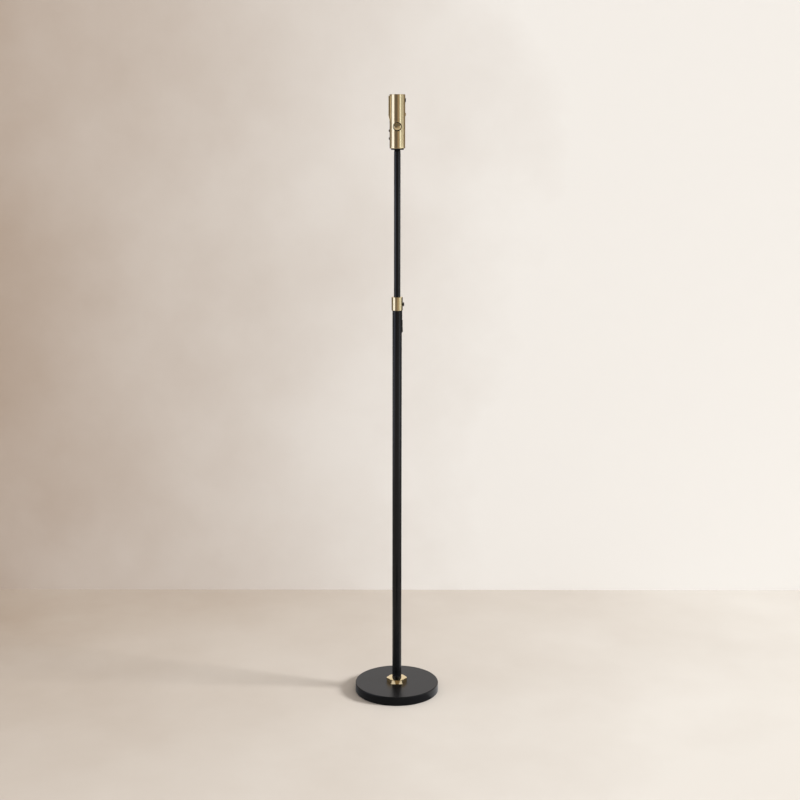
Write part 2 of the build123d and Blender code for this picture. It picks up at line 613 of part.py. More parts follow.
def block_screws():
    head = extrude(Circle(BLOCK_SCREW_HEAD / 2), BLOCK_SCREW_HEIGHT)
    head = chamfer(rims(head, BLOCK_SCREW_HEAD / 2, BLOCK_SCREW_HEIGHT), SCREW_EDGE)
    reach = HEAD_WALL + BLOCK_SCREW_REACH - FIT_GAP
    screw = head + Pos(0, 0, -reach) * extrude(Circle(BLOCK_SCREW_DIAMETER / 2), reach)
    return Compound([block_screw_place(drop) * screw for drop in BLOCK_SCREW_DROPS])


def pivot_block():
    body = rod(CORE_RADIUS, BLOCK_FOOT, BLOCK_TOP) - knuckle_slot()
    for near, far in ((-HEAD_DIAMETER, -PIVOT_SEAT), (PIVOT_SEAT, HEAD_DIAMETER)):
        body -= rod_y(PIVOT_HOLE_RADIUS, near, far, TILT_AXIS)
    body -= rod_y(PIVOT_RADIUS + FIT_GAP, -HEAD_DIAMETER, HEAD_DIAMETER, TILT_AXIS)
    return body - block_screw_holes()


# Light head

def carrier_screw_hole(rise):
    return rod_x(CARRIER_SCREW_DIAMETER / 2 + FIT_GAP, HEAD_RADIUS - CARRIER_SCREW_REACH - FIT_GAP,
                 HEAD_DIAMETER, TILT_AXIS + rise)


def head_shell():
    shell = sleeve(HEAD_RADIUS, HEAD_BORE_RADIUS, HEAD_FOOT, HEAD_TOP)
    shell = fillet(rims(shell, HEAD_RADIUS, HEAD_FOOT), HEAD_FOOT_RADIUS)
    shell = chamfer(rims(shell, HEAD_RADIUS, HEAD_TOP), HEAD_TOP_BEVEL)
    shell -= knuckle_slot()
    shell -= rod_y(PIVOT_HOLE_RADIUS, -HEAD_DIAMETER, HEAD_DIAMETER, TILT_AXIS)
    edge = WINDOW_SKIRT + FIT_GAP
    shell -= block(-HEAD_DIAMETER, 0, WINDOW_HALF + edge, WINDOW_SILL - edge, WINDOW_LINTEL + edge)
    shell -= block_screw_holes()
    for rise in (UPPER_SCREW_RISE, LOWER_SCREW_RISE):
        shell -= carrier_screw_hole(rise)
    return shell


def head_top_cap():
    cap = rod(CORE_RADIUS, TOP_CAP_FOOT, TOP_CAP_TOP)
    return chamfer(rims(cap, CORE_RADIUS, TOP_CAP_TOP), SCREW_EDGE)


def head_bottom_cap():
    cap = rod(FOOT_CAP_DIAMETER / 2, FOOT_CAP_FOOT, HEAD_FOOT)
    cap = chamfer(rims(cap, FOOT_CAP_DIAMETER / 2, FOOT_CAP_FOOT), FOOT_CAP_BEVEL)
    cap += rod(CORE_RADIUS, HEAD_FOOT, BLOCK_FOOT)
    return cap - knuckle_slot()


def window_bezel():
    half = WINDOW_WIDTH / 2
    root = math.sqrt(HEAD_RADIUS ** 2 - half ** 2) - WINDOW_RISE
    frame = slab_xz(half, (-root, FRAME_FOOT), (-HEAD_RADIUS, FRAME_FOOT),
                    (-FRAME_FACE, FRAME_FOOT + WINDOW_RAMP), (-FRAME_FACE, FRAME_TOP), (-root, FRAME_TOP))
    face = frame.faces().sort_by(Axis.X)[0]
    frame = fillet(face.edges().filter_by(Axis.Z), WINDOW_EDGE)
    frame -= rod(HEAD_RADIUS + FIT_GAP, FRAME_FOOT, FRAME_TOP)
    skirt_back = FRAME_FACE - WINDOW_LIP - WINDOW_SKIRT_DEPTH
    frame += block(-FRAME_FACE + WINDOW_LIP_EDGE, -skirt_back, WINDOW_HALF + WINDOW_SKIRT,
                   WINDOW_SILL - WINDOW_SKIRT, WINDOW_LINTEL + WINDOW_SKIRT)
    lip = WINDOW_LIP_EDGE
    frame -= block(-HEAD_DIAMETER, 0, WINDOW_HALF - lip, WINDOW_SILL + lip, WINDOW_LINTEL - lip)
    return frame - block(-DIFFUSER_FACE, 0, WINDOW_HALF, WINDOW_SILL, WINDOW_LINTEL)


def diffuser():
    return block(-DIFFUSER_FACE, DIFFUSER_THICKNESS - DIFFUSER_FACE, WINDOW_HALF - FIT_GAP,
                 WINDOW_SILL + FIT_GAP, WINDOW_LINTEL - FIT_GAP)


def heat_sink():
    sink = rod(CORE_RADIUS, BLOCK_TOP, TOP_CAP_FOOT)
    sink -= block(-HEAD_DIAMETER, -SINK_FACE, HEAD_RADIUS, BLOCK_TOP, TOP_CAP_FOOT)
    groove = block(-SINK_GROOVE_WIDTH / 2, SINK_GROOVE_WIDTH / 2, SINK_GROOVE_DEPTH, BLOCK_TOP, TOP_CAP_FOOT)
    for side in (-CORE_RADIUS, CORE_RADIUS):
        sink -= Pos(0, side, 0) * GridLocations(SINK_GROOVE_PITCH, 0, SINK_GROOVES, 1) * groove
    for rise in (UPPER_SCREW_RISE, LOWER_SCREW_RISE):
        sink -= carrier_screw_hole(rise)
    return sink


def led_board():
    half = LED_BOARD_LENGTH / 2
    return block(-SINK_FACE - LED_BOARD_THICKNESS, -SINK_FACE, LED_BOARD_WIDTH / 2, WINDOW_MIDDLE - half,
                 WINDOW_MIDDLE + half)


def led_chips():
    back = -SINK_FACE - LED_BOARD_THICKNESS
    pitch = LED_BOARD_LENGTH / LED_COUNT
    first = WINDOW_MIDDLE - pitch * (LED_COUNT - 1) / 2
    chip = block(back - LED_HEIGHT, back, LED_SIZE / 2, -LED_SIZE / 2, LED_SIZE / 2)
    return Compound([Pos(0, 0, first + pitch * index) * chip for index in range(LED_COUNT)])


def carrier_screw_upper():
    return screw_x(UPPER_SCREW_HEAD / 2, UPPER_SCREW_HEIGHT, CARRIER_SCREW_DIAMETER / 2, CARRIER_SCREW_REACH,
                   HEAD_RADIUS, TILT_AXIS + UPPER_SCREW_RISE)


def carrier_screw_lower():
    return screw_x(LOWER_SCREW_HEAD / 2, LOWER_SCREW_HEIGHT, CARRIER_SCREW_DIAMETER / 2, CARRIER_SCREW_REACH,
                   HEAD_RADIUS, TILT_AXIS + LOWER_SCREW_RISE)


PIECES = (
    base_cover, base_weight, base_pad, cord_grommet, base_nipple, base_washer, base_lock_nut, pole_foot_nut,
    tube_foot_plug, lower_tube_bottom, tube_joiner, lower_tube_top,
    collar, guide_bush, clamp_pad, clamp_screw,
    switch_bezel, switch_rocker, rocker_pin, switch_board, switch_domes,
    upper_tube, tail_guide, swivel_bush, swivel_stem, swivel_spring, swivel_clip,
    pivot_bolt, pivot_nut, friction_washers, pivot_block, block_screws,
    head_shell, head_top_cap, head_bottom_cap, window_bezel, diffuser, heat_sink, led_board, led_chips,
    carrier_screw_upper, carrier_screw_lower,
)

os.makedirs("parts", exist_ok=True)
for piece in PIECES:
    export_step(piece(), f"parts/{piece.__name__}.step")
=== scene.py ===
import json
import math

import bmesh
import bpy
import numpy as np
from mathutils import Matrix, Vector


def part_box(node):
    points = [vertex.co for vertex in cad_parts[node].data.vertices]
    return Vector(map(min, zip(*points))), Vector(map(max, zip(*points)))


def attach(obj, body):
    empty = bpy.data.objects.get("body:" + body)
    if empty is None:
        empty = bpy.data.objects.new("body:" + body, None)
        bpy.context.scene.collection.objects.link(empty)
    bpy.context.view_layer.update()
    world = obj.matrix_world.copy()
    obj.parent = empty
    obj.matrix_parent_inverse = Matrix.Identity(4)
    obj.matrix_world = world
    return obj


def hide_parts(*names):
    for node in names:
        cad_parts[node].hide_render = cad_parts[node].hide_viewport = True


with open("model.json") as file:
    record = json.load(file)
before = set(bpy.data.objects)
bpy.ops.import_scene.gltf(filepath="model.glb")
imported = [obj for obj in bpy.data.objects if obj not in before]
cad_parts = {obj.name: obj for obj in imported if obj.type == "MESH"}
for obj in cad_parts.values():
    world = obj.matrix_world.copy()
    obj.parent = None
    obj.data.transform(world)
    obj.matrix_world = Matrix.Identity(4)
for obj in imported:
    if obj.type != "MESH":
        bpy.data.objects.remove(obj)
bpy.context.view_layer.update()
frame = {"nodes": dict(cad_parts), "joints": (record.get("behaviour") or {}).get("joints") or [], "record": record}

# Adjustable floor lamp, in metres. The front faces -Y. The light window and the knuckle slot of the head are
# on the -X side, and the clamp screw and the switch on the +X side. Turns are measured from the front to +X.

MM = 0.001
LEFT = -math.pi / 2
RIGHT = math.pi / 2
AXIS = {joint["name"]: joint["pos_m"] for joint in frame["joints"] if joint["type"] == "hinge"}
TILT = AXIS["head_tilt"][2]
SLOT_OF = {part["node"]: part["material_slot"] for part in frame["record"]["subparts"]}
BODY_OF = {name: body for body, names in frame["record"]["behaviour"]["bodies"].items() for name in names}

# Sizes of the base that the boxes of its nodes don't give
PAD_EDGE = 0.5 * MM
COVER_WALL = 1.5 * MM
COVER_RIM = 2.0 * MM
NIPPLE_HOLE = 5.05 * MM
OUTLET_HEIGHT = 9.0 * MM
OUTLET_RADIUS = 4.3 * MM
OUTLET_BORE = 3.2 * MM
GROMMET_FLANGE = 1.5 * MM
GROMMET_EDGE = 0.4 * MM
NUT_FLOOR = 2.7 * MM
NUT_EDGE = 0.4 * MM
NUT_CLEARANCE = 0.05 * MM
NUT_BEVEL_WIDTH = 2.5 * MM
NUT_BEVEL_SLOPE = math.tan(math.radians(20))

# Sizes of the pole
TUBE_WALL = 1.2 * MM
UPPER_TUBE_WALL = 1.0 * MM
TUBE_EDGE = 0.3 * MM
SWITCH_DOOR = (5.05 * MM, 15.35 * MM)
COLLAR_LIP = 2.0 * MM
COLLAR_EDGE = 0.5 * MM
COLLAR_CLEARANCE = 0.3 * MM
CLAMP_FLUTES = 18
CLAMP_FLUTE_DEPTH = 0.35 * MM
CLAMP_SHANK = 2.0 * MM
CLAMP_EDGE = 0.4 * MM

# Sizes of the swivel and the head
BEARING_GAP = 0.06 * MM
STEM_SHANK = 4.0 * MM
STEM_BORE = 2.25 * MM
NECK_LENGTH = 8.2 * MM
NECK_EDGE = 0.6 * MM
BLADE_HALF = 7.0 * MM
BLADE_THICKNESS = 6.0 * MM
BLADE_EDGE = 0.3 * MM
KNUCKLE_END = 7.3 * MM
KNUCKLE_HALF_SLOT = 3.62 * MM
HEAD_WALL = 1.5 * MM
HEAD_FOOT_EDGE = 1.2 * MM
HEAD_TOP_EDGE = 0.6 * MM
HEAD_CUT_EDGE = 0.25 * MM
TOP_CAP_EDGE = 0.4 * MM
FOOT_CAP_LIP = 14.75 * MM
FOOT_CAP_EDGE = 0.7 * MM
PIVOT_HOLE = 10.0 * MM
PIVOT_DOME = 1.8 * MM
PIVOT_EDGE = 0.35 * MM
PIVOT_SHANK = 3.0 * MM
PIVOT_SEAT = 11.5 * MM
PIVOT_BOLT_REACH = 26.0 * MM
WINDOW_MARGIN = 0.9 * MM
PANE_CORNER = 0.4 * MM
SCREW_SHANK = 1.5 * MM
SCREW_LEAD_IN = 0.1 * MM
BLOCK_SCREW_HEAD = 3.3 * MM
BLOCK_SCREW_HEIGHT = 3.2 * MM
BLOCK_SCREW_REACH = 6.8 * MM
BLOCK_SCREW_DROPS = (8.8 * MM, 26.4 * MM)
BLOCK_SCREW_TURN = math.radians(-120)

# Screw heads: dish and recess in shares of the radius, edge and floor in shares of the height
CLAMP_DISH_SHARE = 0.62
SCREW_RECESS_SHARE = 0.42
SCREW_EDGE_SHARE = 0.35
SCREW_FLOOR_SHARE = 0.45

# Powers of the hexagons: the higher, the crisper their corners
NUT_CORNERS = 30
RECESS_CORNERS = 200

# Fineness of the surfaces
WELD = 1e-7
SHARP = math.radians(30)
BEVEL_FROM = math.radians(40)
BEVEL_STEPS = 2
ARC_STEPS = 6
EDGE_STEPS = 4
FACE_STEPS = 8
DOME_STEPS = 15
FLAT_STEPS = 24
FLUTE_STEPS = 14
TURN = np.linspace(0, 2 * math.pi, 128, endpoint=False)


# Surfaces

def about_axis(radius, turn, height):
    """Points at a radius, turn and height: x = r sin a, y = -r cos a, z = h."""
    return np.stack(np.broadcast_arrays(radius * np.sin(turn), -radius * np.cos(turn), height), -1)


def facing_x(loop, x):
    """Points of an (across, up) loop that stands across X; x is one depth or one for each point."""
    return np.stack([np.broadcast_to(x, len(loop)), loop[:, 0], loop[:, 1]], -1)


def quads(index):
    """Corners of the cells of a (rows, columns) grid of point numbers."""
    return np.stack([index[:-1, :-1], index[:-1, 1:], index[1:, 1:], index[1:, :-1]], -1).reshape(-1, 4)


def skin(grid, ring=False, closed=True):
    """Points and quads of a (rows, columns, 3) grid. Columns close on themselves, and rows too in a ring."""
    index = np.arange(grid.shape[0] * grid.shape[1]).reshape(grid.shape[:2])
    if ring:
        index = np.concatenate([index, index[:1]])
    if closed:
        index = np.concatenate([index, index[:, :1]], 1)
    return grid.reshape(-1, 3), quads(index)


def through(stops, steps):
    """Numbers from the first stop to the last, with steps[k] equal steps from stop k to the next."""
    gaps = [np.linspace(a, b, n, endpoint=False) for a, b, n in zip(stops, stops[1:], steps)]
    return np.concatenate([*gaps, stops[-1:]])


def quarter(radius, steps=ARC_STEPS):
    """Rounded edge between a side and a face, as rows of (in from the side, off the face).

    They are radius (1 - cos a) and radius (1 - sin a), for angles a from the side to the face.
    """
    swing = np.linspace(0, math.pi / 2, steps + 1)
    return radius * (1 - np.stack([np.cos(swing), np.sin(swing)], -1))


def rounded(*corners):
    """Closed outline through (across, up, radius) corners.

    A corner is an arc that touches both of its sides: its centre is on the bisector, radius / sin(half the
    corner) from the point, and its points turn evenly from one side to the other. A corner of no radius stays
    a point.
    """
    points = np.array([corner[:2] for corner in corners])
    neighbours = zip(np.roll(points, 1, 0), points, np.roll(points, -1, 0), corners)
    outline = []
    for before, point, after, (_, _, radius) in neighbours:
        if radius == 0:
            outline.append(point[None])
            continue
        to_before = (before - point) / np.linalg.norm(before - point)
        to_after = (after - point) / np.linalg.norm(after - point)
        half = math.acos(np.clip(to_before @ to_after, -1, 1)) / 2
        bisector = (to_before + to_after) / np.linalg.norm(to_before + to_after)
        across = (to_after - to_before) / np.linalg.norm(to_after - to_before)
        swing = np.linspace(half - math.pi / 2, math.pi / 2 - half, ARC_STEPS + 1)[:, None]
        centre = point + bisector * radius / math.sin(half)
        outline.append(centre + radius * (np.sin(swing) * across - np.cos(swing) * bisector))
    return np.concatenate(outline)


def rounded_loop(half_across, half_up, radius, middle=0.0):
    """Rounded rectangle as (across, up) points; loops of all sizes pair point for point.

    Corner k is a quarter circle about its centre, and the straight side after it is cut into equal steps.
    """
    signs = np.array([(1, 1), (-1, 1), (-1, -1), (1, -1)])
    swing = np.linspace(0, math.pi / 2, ARC_STEPS + 1) + np.arange(4)[:, None] * math.pi / 2
    centres = signs * [half_across - radius, half_up - radius]
    arcs = centres[:, None] + radius * np.stack([np.cos(swing), np.sin(swing)], -1)
    share = np.linspace(0, 1, 2 * ARC_STEPS + 1)[1:-1, None]
    sides = arcs[:, -1:] * (1 - share) + np.roll(arcs[:, :1], -1, 0) * share
    return np.concatenate([arcs, sides], 1).reshape(-1, 2) + [0, middle]


def hexagon(apothem, turn, power):
    """Distance to the side of a hexagon with a flat at turn 0, its corners eased.

    The reach of each flat is apothem / cos of the turn from it; their inverses are joined by a power mean,
    which gives the nearest flat, with corners that are rounder for a lower power.
    """
    from_flat = turn[:, None] - np.arange(6) * math.pi / 3
    return apothem / (np.maximum(np.cos(from_flat), 0) ** power).sum(1) ** (1 / power)


def spun(rows, turn=TURN, ring=False):
    """Surface turned about the axis: each row is a (radius, height), and both may vary over the turn."""
    radius = np.array([np.broadcast_to(row[0], turn.shape) for row in rows])
    height = np.array([np.broadcast_to(row[1], turn.shape) for row in rows])
    return skin(about_axis(radius, turn, height), ring=ring)


def pointed(solid, direction, place):
    """The solid with its axis laid along a level direction and its origin moved to place."""
    points, corners = solid
    out, up = np.array(direction, float), np.array([0.0, 0.0, 1.0])
    return points @ np.array([np.cross(up, out), up, out]) + place, corners


def gap_turns(middle, half, radius):
    """First and last turn of a gap in a round wall: its sides stand parallel, half from its middle."""
    turn = math.asin(half / radius)
    return middle - turn, middle + turn


def nearest(values, wanted):
    """Number of the value that is nearest to the wanted one."""
    return int(np.abs(values - wanted).argmin())


def walled(outer, inner, turn_out, turn_in, doors=(), holes=()):
    """Wall between two turned surfaces, with square doors and round holes through it.

    Row k of outer faces row k of inner, both (radius, height), and column k of turn_out that of turn_in. A
    door (turns, heights) leaves its cells out. A hole (turn, height, radius, half turn, half height) leaves a
    patch of cells out and fills it with rings that pass from the edge of the patch to the circle of the hole.
    Each edge that only one cell has is then joined across the wall.
    """
    columns = len(turn_out)
    heights = outer[:, 1]
    outside = about_axis(outer[:, :1], turn_out, outer[:, 1:]).reshape(-1, 3)
    inside = about_axis(inner[:, :1], turn_in, inner[:, 1:]).reshape(-1, 3)
    index = np.arange(len(outside)).reshape(-1, columns)
    index = np.concatenate([index, index[:, :1]], 1)
    kept = np.ones((len(outer) - 1, columns), bool)
    patches = []
    for (first, last), (foot, top) in doors:
        rows = slice(nearest(heights, foot), nearest(heights, top))
        kept[rows, nearest(turn_out, first):nearest(turn_out, last)] = False
    for turn, height, radius, half_turn, half_height in holes:
        left, right = nearest(turn_out, turn - half_turn), nearest(turn_out, turn + half_turn)
        low, high = nearest(heights, height - half_height), nearest(heights, height + half_height)
        kept[low:high, left:right] = False
        loop = np.concatenate([index[low, left:right], index[low:high, right],
                               index[high, right:left:-1], index[high:low:-1, left]])
        loop_turn, loop_height = turn_out[loop % columns], heights[loop // columns]
        swing = np.arctan2(loop_height - height, outer[low, 0] * (loop_turn - turn))
        share = np.linspace(0, 1, ARC_STEPS)[1:, None]
        ring_height = loop_height * (1 - share) + (height + radius * np.sin(swing)) * share
        rings = np.arange(ring_height.size).reshape(ring_height.shape) + len(outside)
        rings = np.concatenate([loop[None], rings])
        patches.append(quads(np.concatenate([rings, rings[:, :1]], 1)))
        walls = []
        for points, wall in ((outside, outer[low, 0]), (inside, inner[low, 0])):
            hole_turn = turn + np.arcsin(radius * np.cos(swing) / wall)
            ring_turn = loop_turn * (1 - share) + hole_turn * share
            walls.append(np.concatenate([points, about_axis(wall, ring_turn, ring_height).reshape(-1, 3)]))
        outside, inside = walls
    faces = np.concatenate([quads(index)[kept.ravel()], *patches])
    edges = np.stack([faces, np.roll(faces, -1, 1)], -1).reshape(-1, 2)
    _, first, count = np.unique(np.sort(edges, 1), axis=0, return_index=True, return_counts=True)
    rim = edges[first[count == 1]]
    sides = np.concatenate([rim[:, ::-1], rim + len(outside)], 1)
    corners = np.concatenate([faces, faces[:, ::-1] + len(outside), sides])
    return np.concatenate([outside, inside]), corners


def placed(name, data):
    """New object in the scene, at its origin."""
    obj = bpy.data.objects.new(name, data)
    bpy.context.scene.collection.objects.link(obj)
    return obj


def piece(name, *solids, edge=0.0):
    """Visible piece in place of a CAD node: its surfaces welded, faced outwards, finished and set to ride.

    edge is the width of the bevel on its sharp edges; with none, edges sharper than SHARP stay crisp.
    """
    starts = np.cumsum([0] + [len(points) for points, _ in solids[:-1]])
    mesh = bpy.data.meshes.new(name + "_visual")
    mesh.from_pydata(np.concatenate([points for points, _ in solids]), [],
                     np.concatenate([corners + start for (_, corners), start in zip(solids, starts)]))
    form = bmesh.new()
    form.from_mesh(mesh)
    bmesh.ops.remove_doubles(form, verts=form.verts, dist=WELD)
    bmesh.ops.delete(form, geom=[point for point in form.verts if not point.link_faces], context="VERTS")
    bmesh.ops.recalc_face_normals(form, faces=form.faces)
    form.to_mesh(mesh)
    form.free()
    mesh.polygons.foreach_set("use_smooth", np.ones(len(mesh.polygons), bool))
    mesh.materials.append(FINISH_OF[name])
    obj = placed(name + "_visual", mesh)
    if edge:
        bevel = obj.modifiers.new("edges", "BEVEL")
        bevel.width = edge
        bevel.segments = BEVEL_STEPS
        bevel.limit_method = "ANGLE"
        bevel.angle_limit = BEVEL_FROM
    else:
        mesh.set_sharp_from_angle(angle=SHARP)
    obj.modifiers.new("normals", "WEIGHTED_NORMAL").keep_sharp = True
    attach(obj, BODY_OF[name])
    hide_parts(name)


# Finishes

# Sockets of the Mix node when it mixes colours
MIX_FIRST = 6
MIX_SECOND = 7
MIX_COLOUR = 2


def linear(code):
    """Linear colour of an sRGB hex value, by the two-part sRGB curve."""
    shades = np.array([int(code[k:k + 2], 16) for k in (0, 2, 4)]) / 255
    return (*np.where(shades <= 0.04045, shades / 12.92, ((shades + 0.055) / 1.055) ** 2.4), 1.0)


def per(size):
    """Texture scale of a pattern whose grains are size millimetres wide."""
    return 1 / (size * MM)


def node(tree, kind, inputs, **settings):
    """Adds a node with its settings; each input gets a value or is linked to another node's output."""
    made = tree.nodes.new("ShaderNode" + kind)
    for name, value in settings.items():
        setattr(made, name, value)
    for name, value in inputs.items():
        if isinstance(value, bpy.types.NodeSocket):
            tree.links.new(value, made.inputs[name])
        else:
            made.inputs[name].default_value = value
    return made


def grained(name, colours, grain, roughness, bump, stretch=(1, 1, 1), cloud=30.0, **constants):
    """Material with a fine grain and a slow drift of colour.

    colours: the two sRGB tones that the drift mixes, in clouds of that many millimetres. grain: width of the
    grain in millimetres, drawn out by stretch. roughness: least and most over the grain. bump: height of the
    grain in millimetres. constants: values for the shader's own sockets.
    """
    material = bpy.data.materials.new(name)
    material.use_nodes = True
    tree = material.node_tree
    shader = tree.nodes["Principled BSDF"]
    for socket, value in constants.items():
        shader.inputs[socket.replace("_", " ")].default_value = value
    first, second = linear(colours[0]), linear(colours[1])
    place = node(tree, "TexCoord", {}).outputs["Object"]
    drawn = node(tree, "Mapping", {"Vector": place, "Scale": stretch}).outputs["Vector"]
    fine = node(tree, "TexNoise", {"Vector": drawn, "Scale": per(grain), "Detail": 3.0}).outputs["Fac"]
    slow = node(tree, "TexNoise", {"Vector": place, "Scale": per(cloud), "Detail": 2.0}).outputs["Fac"]
    tone = node(tree, "Mix", {"Factor": slow, MIX_FIRST: first, MIX_SECOND: second}, data_type="RGBA")
    rough = node(tree, "MapRange", {"Value": fine, "To Min": roughness[0], "To Max": roughness[1]})
    relief = node(tree, "Bump", {"Height": fine, "Distance": bump * MM, "Strength": 1.0})
    tree.links.new(tone.outputs[MIX_COLOUR], shader.inputs["Base Color"])
    tree.links.new(rough.outputs["Result"], shader.inputs["Roughness"])
    tree.links.new(relief.outputs["Normal"], shader.inputs["Normal"])
    return material


FINISHES = {
    # Polyester powder with a matting agent, baked on steel: satin black with a faint orange peel
    "black_powder_coat": grained("black_powder_coat", ("0b0b0d", "0f0f11"), 1.6, (0.18, 0.24), 0.003, IOR=1.5,
                                 Specular_IOR_Level=0.28),
    # Turned brass, polished and lacquered: warm yellow, with the rings of the lathe tool just left in it
    "polished_brass": grained("polished_brass", ("e4cfa3", "e9d5a9"), 0.5, (0.12, 0.18), 0.0006,
                              stretch=(0.02, 0.02, 1), Metallic=1.0),
    # ABS moulded against a spark-eroded tool: a fine even texture
    "black_plastic": grained("black_moulded_abs", ("0c0c0c", "101010"), 0.7, (0.36, 0.48), 0.008, IOR=1.54,
                             Specular_IOR_Level=0.28),
    # Steel blackened in a hot oxide bath and oiled: dark, a little metallic
    "black_oxide_steel": grained("black_oxide_steel", ("18181a", "212123"), 0.5, (0.32, 0.45), 0.004,
                                 Metallic=0.7),
    # Bright zinc on pressed steel: grey with a slight blue cast
    "zinc_steel": grained("bright_zinc_steel", ("b9bcc0", "c8cacc"), 0.8, (0.28, 0.42), 0.004, Metallic=1.0),
    # Iron as it leaves the sand mould: dull and grainy
    "iron": grained("sand_cast_iron", ("4a4846", "5a5754"), 1.5, (0.6, 0.8), 0.08, Metallic=0.7),
    # Calendered rubber sheet: matt, with a powdery bloom
    "rubber": grained("rubber_sheet", ("1a1a1a", "232222"), 0.8, (0.75, 0.9), 0.02, IOR=1.52),
    # Natural nylon, turned from bar: waxy off-white
    "nylon": grained("natural_nylon", ("e2ddcf", "ece8dc"), 0.6, (0.4, 0.5), 0.004, IOR=1.53),
    # Aluminium, milled, then anodised black: fine lines under a satin skin
    "black_aluminium": grained("black_anodised_aluminium", ("1f1f21", "29292b"), 0.4, (0.36, 0.46), 0.003,
                               stretch=(1, 0.05, 1), Metallic=0.6),
    # Extruded aluminium: pale, with lines along the way that it was drawn
    "bare_aluminium": grained("extruded_aluminium", ("c9cacb", "d8d9da"), 0.5, (0.25, 0.4), 0.003,
                              stretch=(1, 1, 0.03), Metallic=1.0),
    # White solder mask over copper on a laminate: a smooth, even half gloss
    "circuit_board": grained("white_solder_mask", ("dfe2dd", "eceee9"), 0.6, (0.3, 0.38), 0.004, IOR=1.55),
    # Stamped spring steel of the switch contacts: bright and warm grey
    "contact_dome": grained("spring_steel", ("bdbdb8", "cbcac5"), 0.4, (0.2, 0.3), 0.002, Metallic=1.0),
    # Yellow phosphor set in clear resin: a smooth drop of strong colour
    "led_phosphor": grained("phosphor_resin", ("e6cf62", "efdc7c"), 0.3, (0.3, 0.4), 0.003, IOR=1.5),
    # Opal acrylic, cast: milky white that light passes into
    "opal_acrylic": grained("opal_acrylic", ("eceae4", "f3f1ec"), 0.6, (0.3, 0.36), 0.002, IOR=1.49,
                            Subsurface_Weight=0.4, Subsurface_Scale=0.002),
}
# The same powder laid thicker on the base: its orange peel is coarser and its gloss softer
THICK_POWDER = grained("thick_black_powder_coat", ("0b0b0d", "0f0f11"), 1.9, (0.27, 0.34), 0.004, IOR=1.5,
                       Specular_IOR_Level=0.28)
FINISH_OF = {name: FINISHES[slot] for name, slot in SLOT_OF.items()}
FINISH_OF["base_cover"] = THICK_POWDER
for name, obj in frame["nodes"].items():
    obj.data.materials.clear()
    obj.data.materials.append(FINISH_OF[name])


# Base

def disc(name, edge):
    """Round plate with eased edges: its outline turned about the axis."""
    low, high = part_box(name)
    piece(name, spun(rounded((0, low.z, 0), (high.x, low.z, edge), (high.x, high.z, edge), (0, high.z, 0))))


def base_cover():
    """Pressed shell: the wall, a quarter circle and the top plate, with a round outlet in the wall behind."""
    low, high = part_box("base_cover")
    radius, foot, top = high.x, low.z, high.z
    patch = 6.5 * MM
    half_turn = patch / radius
    behind = -math.pi
    stops = [foot, OUTLET_HEIGHT - patch, OUTLET_HEIGHT + patch, top - COVER_RIM]
    wall = through(stops, [1, 12, 2])[:, None]
    swing = np.linspace(0, math.pi / 2, 2 * ARC_STEPS + 1)[1:, None]
    plate_shares = np.array([0.98, 0.9, 0.7, 0.5, 0.3, 0.15])[:, None]
    plate = np.vstack([plate_shares * (radius - COVER_RIM), [[NIPPLE_HOLE]]])

    def profile(depth):
        """Outline of the shell at a depth under its outer face; both rims turn about the same centre."""
        turn = COVER_RIM - depth
        side = np.hstack([np.full_like(wall, radius - depth), wall])
        rim = np.hstack([radius - COVER_RIM + turn * np.cos(swing), top - COVER_RIM + turn * np.sin(swing)])
        return np.vstack([side, rim, np.hstack([plate, np.full_like(plate, top - depth)])])

    first, last = behind - half_turn, behind + half_turn
    turn = through([first, last, first + 2 * math.pi], [12, 240])[:-1]
    hole = (behind, OUTLET_HEIGHT, OUTLET_RADIUS, half_turn, patch)
    piece("base_cover", walled(profile(0), profile(COVER_WALL), turn, turn, holes=[hole]))


def cord_grommet():
    """Bush behind the wall of the cover, with a rounded mouth flush with the wall."""
    low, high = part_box("cord_grommet")
    flange = high.x
    nose = high.y - low.y
    edge = GROMMET_EDGE
    outline = rounded((OUTLET_BORE, 0, edge), (flange, 0, edge), (flange, GROMMET_FLANGE, edge),
                      (OUTLET_RADIUS, GROMMET_FLANGE, 0), (OUTLET_RADIUS, nose, edge),
                      (OUTLET_BORE, nose, edge))
    piece("cord_grommet", pointed(spun(outline, ring=True), (0, 1, 0), (0, low.y, OUTLET_HEIGHT)))


def pole_foot_nut():
    """Hexagon nut with a cup for the tube.

    The bevel is a cone, so each flat ends in the curve top - (side - face) times the slope of the bevel.
    """
    low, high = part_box("pole_foot_nut")
    foot, top, edge = low.z, high.z, NUT_EDGE
    turn = np.linspace(0, 2 * math.pi, 6 * FLAT_STEPS, endpoint=False)
    face = high.y - NUT_BEVEL_WIDTH
    side = hexagon(high.y, turn, NUT_CORNERS)
    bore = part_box("lower_tube_bottom")[1].x + NUT_CLEARANCE
    bevel = top - (side - face) * NUT_BEVEL_SLOPE
    floor = foot + NUT_FLOOR
    rows = [(NIPPLE_HOLE, foot), (side - edge, foot), (side, foot + edge), (side, bevel), (face, top),
            (bore + edge, top), (bore, top - edge), (bore, floor), (NIPPLE_HOLE, floor)]
    piece("pole_foot_nut", spun(rows, turn, ring=True))


# Pole

def plain_tube(name, wall):
    """Tube between two radii with eased ends."""
    low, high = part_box(name)
    bore = high.x - wall
    outline = rounded((high.x, low.z, TUBE_EDGE), (high.x, high.z, TUBE_EDGE), (bore, high.z, TUBE_EDGE),
                      (bore, low.z, TUBE_EDGE))
    piece(name, spun(outline, ring=True))


